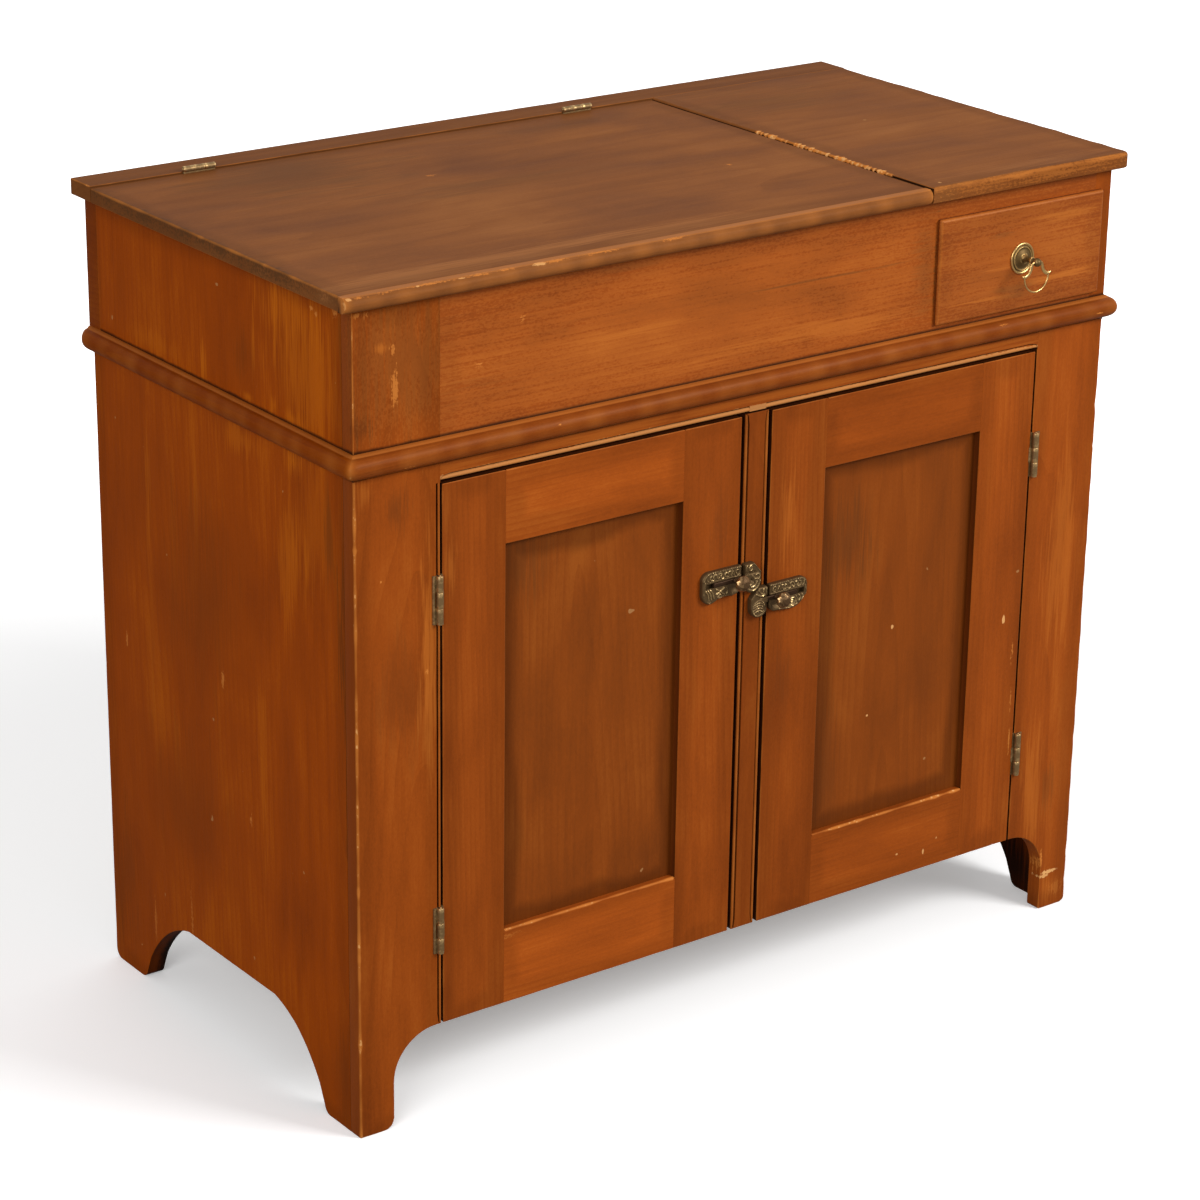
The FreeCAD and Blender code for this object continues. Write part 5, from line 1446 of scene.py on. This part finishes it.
metal_pieces((("lid_rail_leaves", rail_parts), ("lid_hinge_leaves", lid_parts),
              ("lid_hinge_pins", pins)))
print("lid hinges: 2")

# %% [markdown]
# ## Cast catches
#
# Each door shuts with a cast cupboard catch: a case on the door, a keeper on the
# post, and between them a sliding bar with a faceted thumb knob. The castings
# are covered with small raised scrolls. The relief is a height over the flat
# of the casting: every scroll is a bent line, and the metal rises over it like
# exp(-(distance / width) squared). Brass shows where that height is greatest.

# %% Relief from bent lines
def relief(u, w, strokes):
    """The height that the strokes raise (or sink, if negative) at each spot."""
    up, down = np.zeros_like(u), np.zeros_like(u)
    for points, width, height in strokes:
        path = smooth_section(points, 30) if len(points) > 2 else \
            np.linspace(points[0], points[-1], 16)
        near = np.min((u[..., None] - path[:, 0]) ** 2 + (w[..., None] - path[:, 1]) ** 2, -1)
        bump = height * np.exp(-near / width ** 2)
        up, down = np.maximum(up, bump), np.minimum(down, bump)
    return up + down


def oval(centre, wide, tall, lean=0.0):
    """A closed oval stroke."""
    t = np.linspace(0, 2 * np.pi, 13)
    x, y = wide * np.cos(t), tall * np.sin(t)
    return [(centre[0] + a * math.cos(lean) - b * math.sin(lean),
             centre[1] + a * math.sin(lean) + b * math.cos(lean)) for a, b in zip(x, y)]


def casting(name, stations, sections, place, worn):
    """A closed shape from cross-sections: sections[station][k] = (w, height)."""
    sections = np.asarray(sections, float)
    count, around = sections.shape[:2]
    u = np.repeat(np.asarray(stations, float)[:, None], around, 1)
    points = np.stack(place(u, sections[..., 0], sections[..., 1]), -1).reshape(-1, 3)
    return into_mesh(name, points, tube_faces(count, around), worn, 48)


def carved_row(u, w, brim, start, end, strokes, flat, ease, ceiling):
    """Heights over a row of spots across a casting, and how bright each spot is.

    The height is flat + relief, rounded off within ease of the brim and cut at
    the ceiling; brightness rises with the relief.
    """
    spot = np.full_like(w, u)
    gap = np.sqrt(np.min((spot[:, None] - brim[:, 0]) ** 2 + (w[:, None] - brim[:, 1]) ** 2, 1))
    gap = np.minimum(gap, np.minimum(u - start, end - u) + 0.02)
    near = np.clip(gap, 0, ease)
    carved = relief(spot, w, strokes)
    height = flat + carved - (ease - np.sqrt(ease ** 2 - (ease - near) ** 2))
    return np.minimum(height, ceiling), np.clip(0.28 + carved * 0.62, 0, 1)


print("relief ready")

# %% The case and its bar
CASE_START, CASE_END, WAY, FOOT_WAY = 0.5, 51.5, 2.8, 5.2
SLOT_STOP, HOLLOW, HOLLOW_ROOF, BED = 47, (4.5, 47.5), 2.6, (1.0, 47.3)
BAR_HALF, BAR_FACES = 2.45, (-244.75, -238.95)
FOOT_HALF, FOOT_FACES = 4.85, (-240.9, -238.97)
KNOB_AT, KNOB_Y, KNOB_FROM, CORNERS = 9.0, -256.65, -0.2465, 8
BAND_SCROLLS = [
    ([(1.8, 13.5), (20, 13.5), (42, 13.5), (47.3, 11.2), (50, 6.2)], 0.75, 0.95),
    ([(1.6, 4.1), (20, 4.1), (45.5, 4.1)], 0.6, 0.7),
    (oval((6.4, 8.8), 1.9, 3.0, -0.25), 0.62, 1.2),
    ([(10.5, 6.0), (12.6, 11.2), (14.6, 6.4)], 0.6, 1.1),
    ([(15.2, 11.4), (17.4, 11.8), (18.8, 9.6), (17.6, 7.2), (19.6, 5.9), (22.2, 7.2), (23.0, 9.8),
      (21.4, 11.4), (20.2, 10.0)], 0.62, 1.25),
    ([(24.4, 6.2), (26.8, 5.8), (28.6, 8.4), (27.2, 10.8), (29.4, 12.0), (32.2, 10.9), (33.2, 8.0),
      (31.6, 6.4), (30.4, 7.8)], 0.62, 1.25),
    ([(34.2, 11.6), (36.8, 11.7), (38.2, 9.0), (37.2, 6.6), (39.6, 5.9), (42.0, 7.6), (42.2, 10.2),
      (40.4, 11.2)], 0.62, 1.25),
    ([(44.0, 5.4), (46.2, 7.6), (46.6, 10.4)], 0.7, 1.1),
    ([(48.4, 4.5), (49.9, -2.0), (49.9, -8.5)], 0.7, 0.9),
]
SHELL = [
    ([(47.6, -4.6), (44.6, -9.0), (43.6, -15.2)], 0.85, 1.35),
    ([(44.8, -4.4), (41.4, -8.6), (40.2, -15.6)], 0.85, 1.35),
    ([(41.6, -4.4), (38.4, -8.4), (36.8, -14.4)], 0.85, 1.3),
    (oval((43.0, -17.2), 1.6, 1.2), 0.6, 1.1),
    ([(24.0, -4.6), (28.0, -7.6), (33.6, -10.2)], 0.75, 1.35),
    ([(33.8, -4.8), (29.2, -7.8), (23.4, -12.0)], 0.75, 1.35),
    ([(26.0, -13.2), (29.0, -11.0), (32.0, -13.8)], 0.65, 1.1),
    ([(20.6, -5.2), (18.8, -8.6), (20.2, -12.4)], 0.7, 1.0),
    ([(12.0, -14.4), (22.0, -14.2), (31.0, -15.2)], 0.6, 0.9),
    ([(8.0, -9.0), (12.0, -9.4), (15.5, -8.6)], 3.0, -1.8),
]
FAN = [
    ([(40.0, -4.6), (41.8, -7.4), (40.4, -11.0)], 0.75, 1.3),
    ([(44.2, -4.6), (45.8, -7.0), (43.6, -10.4)], 0.75, 1.3),
    (oval((30.5, -9.6), 4.6, 3.6, 0.4), 0.8, 1.5),
    (oval((30.2, -9.4), 1.9, 1.3, 0.4), 0.9, 1.6),
    ([(24.5, -12.6), (30.0, -15.0), (37.5, -13.6)], 0.7, 1.1),
    ([(22.0, -5.0), (23.4, -8.4), (20.4, -12.2)], 0.8, 1.3),
    ([(35.6, -4.8), (37.4, -8.0), (36.2, -11.6)], 0.7, 1.2),
    ([(14.0, -15.0), (22.0, -15.8), (29.0, -16.4)], 0.6, 0.9),
    ([(6.5, -9.0), (11.0, -9.6), (15.5, -9.0)], 3.0, -2.0),
]
LEFT_BRIM = smooth_section([(0.5, -8.0), (2.0, -12.4), (5.2, -15.2), (9.5, -16.2), (13, -16.9),
                            (18, -15.9), (25, -15.7), (31, -17.0), (35, -19.0), (40, -20.4),
                            (45, -19.4), (48.8, -16.2), (50.9, -12.4), (51.5, -9.4)], 90)
RIGHT_BRIM = smooth_section([(0.5, -9.0), (2.0, -12.8), (5.5, -15.7), (12, -16.6), (20, -17.4),
                             (28, -18.2), (34.5, -17.8), (40.5, -15.6), (45.5, -11.6),
                             (49.3, -6.8), (51.1, -2.4), (51.5, 0.2)], 90)
TOP_BRIM = np.array([(0.5, 14.2), (1.1, 14.9), (1.8, 15.0), (42.5, 15.0)] +
                    [(42.5 + 9 * math.sin(t), 6 + 9 * math.cos(t))
                     for t in np.radians(np.linspace(5, 90, 14))])


def case(name, edge, away, level, brim, strokes):
    """The two limbs of a case, below and above the slot for the bar."""
    stations = np.sort(np.concatenate([
        np.linspace(CASE_START, CASE_END, 96), [0.6, 0.8, 51.2, 51.4],
        [4.49, 4.51, 46.99, 47.01, 47.49, 47.51]]))
    outline = np.vstack([brim, TOP_BRIM[::-1]])
    steps = np.linspace(0, len(outline) - 1, 420)
    fine = np.stack([np.interp(steps, range(len(outline)), way) for way in outline.T], 1)
    limbs = []
    for side, far_brim in ((-1, brim), (1, TOP_BRIM)):
        sections, marks = [], []
        for u in stations:
            far = float(np.interp(u, *far_brim.T))
            near = side * (WAY if u < SLOT_STOP else 0.0)
            w = np.linspace(far, near, 30)
            height, mark = carved_row(u, w, fine, CASE_START, CASE_END, strokes,
                                      flat=5.35, ease=1.7, ceiling=6.95)
            hollow = HOLLOW[0] < u < HOLLOW[1]
            foot, roof = (side * FOOT_WAY, HOLLOW_ROOF) if hollow else (near, 0.0)
            sections.append(list(zip(w, height)) + [(near, roof), (foot, roof), (foot, 0.0),
                                                    (far * 0.5 + foot * 0.5, 0.0), (far, 0.0)])
            marks.append([*mark, *[0.1] * 5])
        limbs.append(casting("limb", stations, sections,
                             lambda u, w, h: (edge + away * u, FRONT_Y - h, level + w), marks))
    bed = board("bed", "xz", rectangle(*sorted(edge + away * u for u in BED),
                                       level - FOOT_WAY, level + FOOT_WAY, ("joint",) * 4),
                FRONT_Y - 0.22, FRONT_Y - 0.02, 84, corner=0.4)
    return joined_pieces(name, limbs + [bed])


def faceted_knob(x, z):
    """A cut knob: rings of eight corners, each ring turned half a corner from the last."""
    # Radius, distance behind the middle, share of a corner turned, wear
    rings = [(4.6, 6.0, 0.5, 0.35), (8.9, 1.1, 0.5, 0.75), (9.1, -0.3, 0.5, 0.9),
             (7.9, -2.6, 0.0, 0.8), (5.4, -4.9, 0.5, 0.7), (3.3, -6.0, 0.0, 0.55)]
    points, faces, marks = [], [], []
    for radius, back, turn, mark in rings:
        for n in range(CORNERS):
            angle = math.tau * (n + turn) / CORNERS
            points.append((x + radius * math.cos(angle), KNOB_Y + back,
                           z + radius * math.sin(angle)))
            marks.append(mark)
    for k in range(len(rings) - 1):
        turned, then = rings[k][2], rings[k + 1][2]
        for n in range(CORNERS):
            a, b = k * CORNERS + n, k * CORNERS + (n + 1) % CORNERS
            c, d = a + CORNERS, b + CORNERS
            if turned == then:
                faces.append([a, b, d, c])
            else:
                faces += [[a, b, d], [a, d, c]] if turned > then else [[a, b, c], [b, d, c]]
    faces += [list(range(CORNERS)), list(range(len(points) - CORNERS, len(points)))]
    return into_mesh("knob", points, faces, marks, 3)


for side, away, edge, level, brim, strokes, tip, tail, foot_start in (
        ("left", -1, -14.8, 511.0, LEFT_BRIM, BAND_SCROLLS + SHELL, -5.0, -52.1, -19.6),
        ("right", 1, 22.8, 481.0, RIGHT_BRIM, BAND_SCROLLS + FAN, 13.0, 60.1, 27.6)):
    dress(case(f"catch_{side}_case_cast", edge, away, level, brim, strokes),
          f"catch_{side}_case", CATCH_METAL)
    bar = board("bar", "xz", rectangle(*sorted((tip, tail)), level - BAR_HALF,
                                       level + BAR_HALF, ("soft",) * 4), *BAR_FACES, 81, corner=0.6)
    foot = board("foot", "xz", rectangle(*sorted((foot_start, tail)), level - FOOT_HALF,
                                         level + FOOT_HALF, ("joint",) * 4),
                 *FOOT_FACES, 82, corner=0.4)
    knob_x = edge + away * KNOB_AT
    neck = spun("neck", [(2.4, -239.5), (2.4, -243.9), (3.2, -244.7), (3.3, -245.6), (2.4, -246.6),
                         (2.3, -249.0), (3.0, -250.4), (4.2, -250.9), (4.2, -251.2)],
                (knob_x, 0, level), (0, 1, 0), 24, [0.5] * 9)
    bolt = joined_pieces(f"catch_{side}_bolt_cast", [bar, foot, neck, faceted_knob(knob_x, level)])
    dress(bolt, f"catch_{side}_bolt", BAR_METAL)
    bolt.data.materials.append(KNOB_METAL)
    for face in bolt.data.polygons:
        if face.center.y < KNOB_FROM:
            face.material_index = 1
print("catches: case relief has", len(BAND_SCROLLS + SHELL), "strokes")

# %% The keepers on the post
KEEPER, POCKET, POCKET_ROOF = 21.6, 6.8, 6.4
BRIDGE_WIDE, BRIDGE_END, BRIDGE_TOP = 3.3, 7.2, 6.75


def keeper(name, mouth, toward, level, strokes):
    """A keeper in one piece, with the pocket for the bar open at its mouth."""
    def brims(u):
        """The lowest and highest point at a station: round below, sloped off above."""
        high = 13 + math.sqrt(4 - (2 - u) ** 2) if u < 2 else 15.0 - 1.2 * max(u - 12, 0)
        return -7.5 - math.sqrt(max(121 - (u - 10.5) ** 2, 0)), high

    stations = np.sort(np.concatenate([np.linspace(0, KEEPER, 50), [0.1, 0.3, 21.5], [6.79, 6.81]]))
    edge = np.array([(u, brims(u)[k]) for k in (0, 1) for u in np.linspace(0, KEEPER, 120)])
    sections, marks = [], []
    for u in stations:
        w = np.linspace(*brims(u), 62)
        height, mark = carved_row(u, w, edge, 0, KEEPER, strokes,
                                  flat=6.9, ease=1.9, ceiling=8.45)
        bridge = (np.abs(w) < BRIDGE_WIDE) & (u < BRIDGE_END)
        height = np.where(bridge, np.maximum(height, BRIDGE_TOP), height)
        roof = POCKET_ROOF if u < POCKET else 0.0
        sections.append(list(zip(w, height)) + [(w[-1], 0.0), (WAY, 0.0), (WAY, roof),
                                                (-WAY, roof), (-WAY, 0.0), (w[0], 0.0)])
        marks.append([*mark, *[0.1] * 6])
    return casting(name, stations, sections,
                   lambda u, w, h: (mouth + toward * u, FRONT_Y - h, level + w), marks)


LEFT_KEEPER = [
    ([(1.4, 6.4), (1.3, 10.5), (1.6, 13.4)], 0.6, 0.9),
    ([(1.6, 13.4), (7, 13.5), (11.6, 13.4), (16.6, 8.2), (20.6, 3.4)], 0.65, 0.95),
    (oval((6.4, 10.0), 2.2, 2.6, 0.3), 0.62, 1.3),
    ([(6.1, 9.2), (6.7, 10.9)], 0.5, 1.1),
    ([(2.2, 4.3), (12.6, 4.3)], 1.0, -2.4),
    ([(-1.0, 2.6), (4.0, -0.6), (9.0, -4.4)], 1.1, -1.4),
    ([(13.6, 1.4), (17.2, 2.0), (19.0, -1.0), (17.0, -3.6), (13.8, -3.0)], 0.8, 1.2),
    ([(9.5, 0.6), (12.0, -2.2), (12.6, -5.8)], 0.7, 1.1),
    ([(19.6, -6.0), (17.0, -12.0), (11.0, -15.6), (4.6, -13.6)], 0.7, 1.1),
    ([(15.4, -6.4), (12.8, -10.4), (8.0, -11.6)], 0.8, 1.2),
    ([(10.0, -7.0), (8.0, -8.6), (5.0, -8.4)], 0.8, 1.1),
]
RIGHT_KEEPER = [
    ([(4.0, 5.6), (6.4, 9.4), (6.0, 13.6)], 0.75, 1.3),
    ([(4.6, 6.0), (9.4, 8.6), (12.4, 12.4)], 0.75, 1.3),
    ([(6.0, 5.2), (11.0, 6.0), (15.6, 8.6)], 0.75, 1.2),
    ([(1.6, 6.0), (2.4, 9.8), (1.8, 13.2)], 0.6, 1.0),
    ([(0.6, 3.6), (9.6, 3.6)], 0.9, -2.2),
    (oval((12.0, -8.0), 8.0, 8.4), 0.75, 1.1),
    ([(7.4, -3.4), (12.4, -1.6), (17.6, -3.8)], 0.7, 1.0),
    ([(6.6, -6.4), (12.4, -4.6), (18.4, -6.6)], 0.55, 0.9),
    ([(6.4, -9.2), (12.2, -7.4), (18.6, -9.4)], 0.55, 0.9),
    ([(7.0, -12.0), (12.2, -10.2), (17.8, -12.2)], 0.55, 0.9),
    ([(2.0, -5.0), (2.2, -8.0), (2.2, -9.6)], 1.8, -2.0),
]
for side, mouth, toward, level, strokes in (("left", -11.5, 1, 511.0, LEFT_KEEPER),
                                            ("right", 19.5, -1, 481.0, RIGHT_KEEPER)):
    dress(keeper(f"catch_{side}_keeper_cast", mouth, toward, level, strokes),
          f"catch_{side}_keeper", CATCH_METAL)
print("keepers on the post: 2")

# %% [markdown]
# ## The drawer pull
#
# A turned rosette with a rolled rim, a slim waisted post that ends in a ball,
# and a bail: two scrolled arms that taper to points, with a thin ring below.
# The post is bolted through the drawer front and held by a nut inside.

# %% Rosette, post and bail
PULL_X, PULL_Z, DRAWER_FACE, BALL_OUT = 355.2, 798.5, -244.65, 24.0
TALLER, SET_LOW, NUT, NUT_FACES, RING_OUT = 1.06, 0.0008, 4.4, (-219.6, -216.75), 16.8
rim = [(15.15 + 1.3 * math.cos(t), 0.85 + 1.3 * math.sin(t))
       for t in np.radians(np.linspace(0, 165, 12))]
profile = [(16.45, 0.0)] + rim + [
    (13.5, 1.0), (13.05, 1.35), (12.7, 2.0), (12.1, 2.5), (11.5, 2.45), (11.0, 2.1), (10.3, 1.95),
    (9.3, 2.1), (8.0, 2.7), (6.8, 3.5), (5.7, 4.15), (4.9, 4.5), (4.4, 4.6), (2.2, 4.6)]
worn = [0.5] + [0.95] * 12 + [0.0, 0.05, 0.6, 0.9, 0.7, 0.15, 0.0, 0.0, 0.1, 0.3, 0.5, 0.6,
                              0.5, 0.3]
rosette = spun("pull_rosette_brass", profile, (PULL_X, DRAWER_FACE, PULL_Z), (0, -1, 0), 96, worn)
for vertex in rosette.data.vertices:  # a little taller than wide, and set a hair low
    vertex.co.z = PULL_Z * MM - SET_LOW + (vertex.co.z - PULL_Z * MM) * TALLER
dress(rosette, "pull_rosette", PULL_METAL)

ball = [(4.7 * math.sin(t), BALL_OUT - 4.7 * math.cos(t))
        for t in np.radians(np.linspace(32, 176, 22))]
profile = [(2.0, -27.9), (2.0, 4.0), (4.35, 4.62), (4.2, 5.4), (3.3, 6.6), (2.75, 8.6), (2.6, 11.5),
           (2.9, 13.8), (3.7, 15.4), (4.1, 16.2), (4.0, 17.0), (3.1, 17.7), (2.5, 18.6)] + ball
profile = [(r, min(a, 28.55)) for r, a in profile] + [(0.2, 28.58)]
worn = ([0.3] * 2 + [0.5, 0.6, 0.5, 0.4, 0.45, 0.6, 0.95, 1.0, 0.9, 0.3, 0.1]
        + [0.45] * len(ball) + [0.5])
post = spun("post", profile, (PULL_X, DRAWER_FACE, PULL_Z), (0, -1, 0), 48, worn)
nut = board("nut", "xz", [(PULL_X + NUT * math.cos(t), PULL_Z + NUT * math.sin(t), "soft")
                          for t in np.radians(np.arange(0, 360, 60))],
            *NUT_FACES, 83, corner=0.3)
dress(joined_pieces("pull_post_brass", [post, nut]), "pull_post", PULL_METAL)

hang_y = DRAWER_FACE - BALL_OUT
# Half of the bail's scroll: how far out and how far up from the ball's middle
ARM = [(3.6, 0.1), (5.6, -0.4), (7.2, -3.0), (8.3, -7.0), (10.6, -11.0), (14.2, -13.6),
       (17.8, -13.9), (20.5, -12.4)]
wide = np.interp(np.linspace(0, 1, 44), [0, 0.12, 0.35, 0.7, 0.93, 1],
                 [1.1, 1.4, 1.9, 2.0, 1.4, 0.7])
parts = [drawn("arm", through([(PULL_X + side * x, hang_y, PULL_Z + z) for x, z in ARM], 44),
               wide, np.minimum(wide, 1.1), 16, 0.95) for side in (-1, 1)]
turn = np.radians(np.linspace(176, 364, 64))
ring = np.stack([PULL_X + RING_OUT * np.cos(turn), np.full(64, hang_y),
                 PULL_Z - 15.6 + RING_OUT * np.sin(turn)], 1)
parts.append(drawn("ring", ring, 0.95, 0.95, 14, 0.9))
dress(joined_pieces("pull_bail_brass", parts), "pull_bail", PULL_METAL)
print("bail hangs", round((PULL_Z - 33.35) * MM, 3), "m above the floor")

# %% [markdown]
# ## What is left in plain wood and metal
#
# Boards inside the cabinet were never varnished. They keep the frame's own
# shapes and get bare old pine; fittings get their metal.

# %% Finishes for the remaining nodes
inside_finishes = 0
for node, shape in nodes.items():
    if node in dressed:
        continue
    low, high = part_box(node)
    size = [high[i] - low[i] for i in range(3)]
    grain = "z" if node == "back_boards" else "xyz"[int(np.argmax(size))]
    tone = "inside" if SLOT_OF[node] == "inner_wood" else "front"
    finish = varnished(node + "_wood", tone, grain, sum(map(ord, node)), (tuple(low), tuple(high)))
    shape.data.materials.clear()
    shape.data.materials.append(finish)
    inside_finishes += 1
print("nodes kept with a finish:", inside_finishes)

# %% [markdown]
# ## The size of the dressed cabinet
#
# The dressed cabinet has to fill the same box as the joinery.

# %% Bring in json
import json
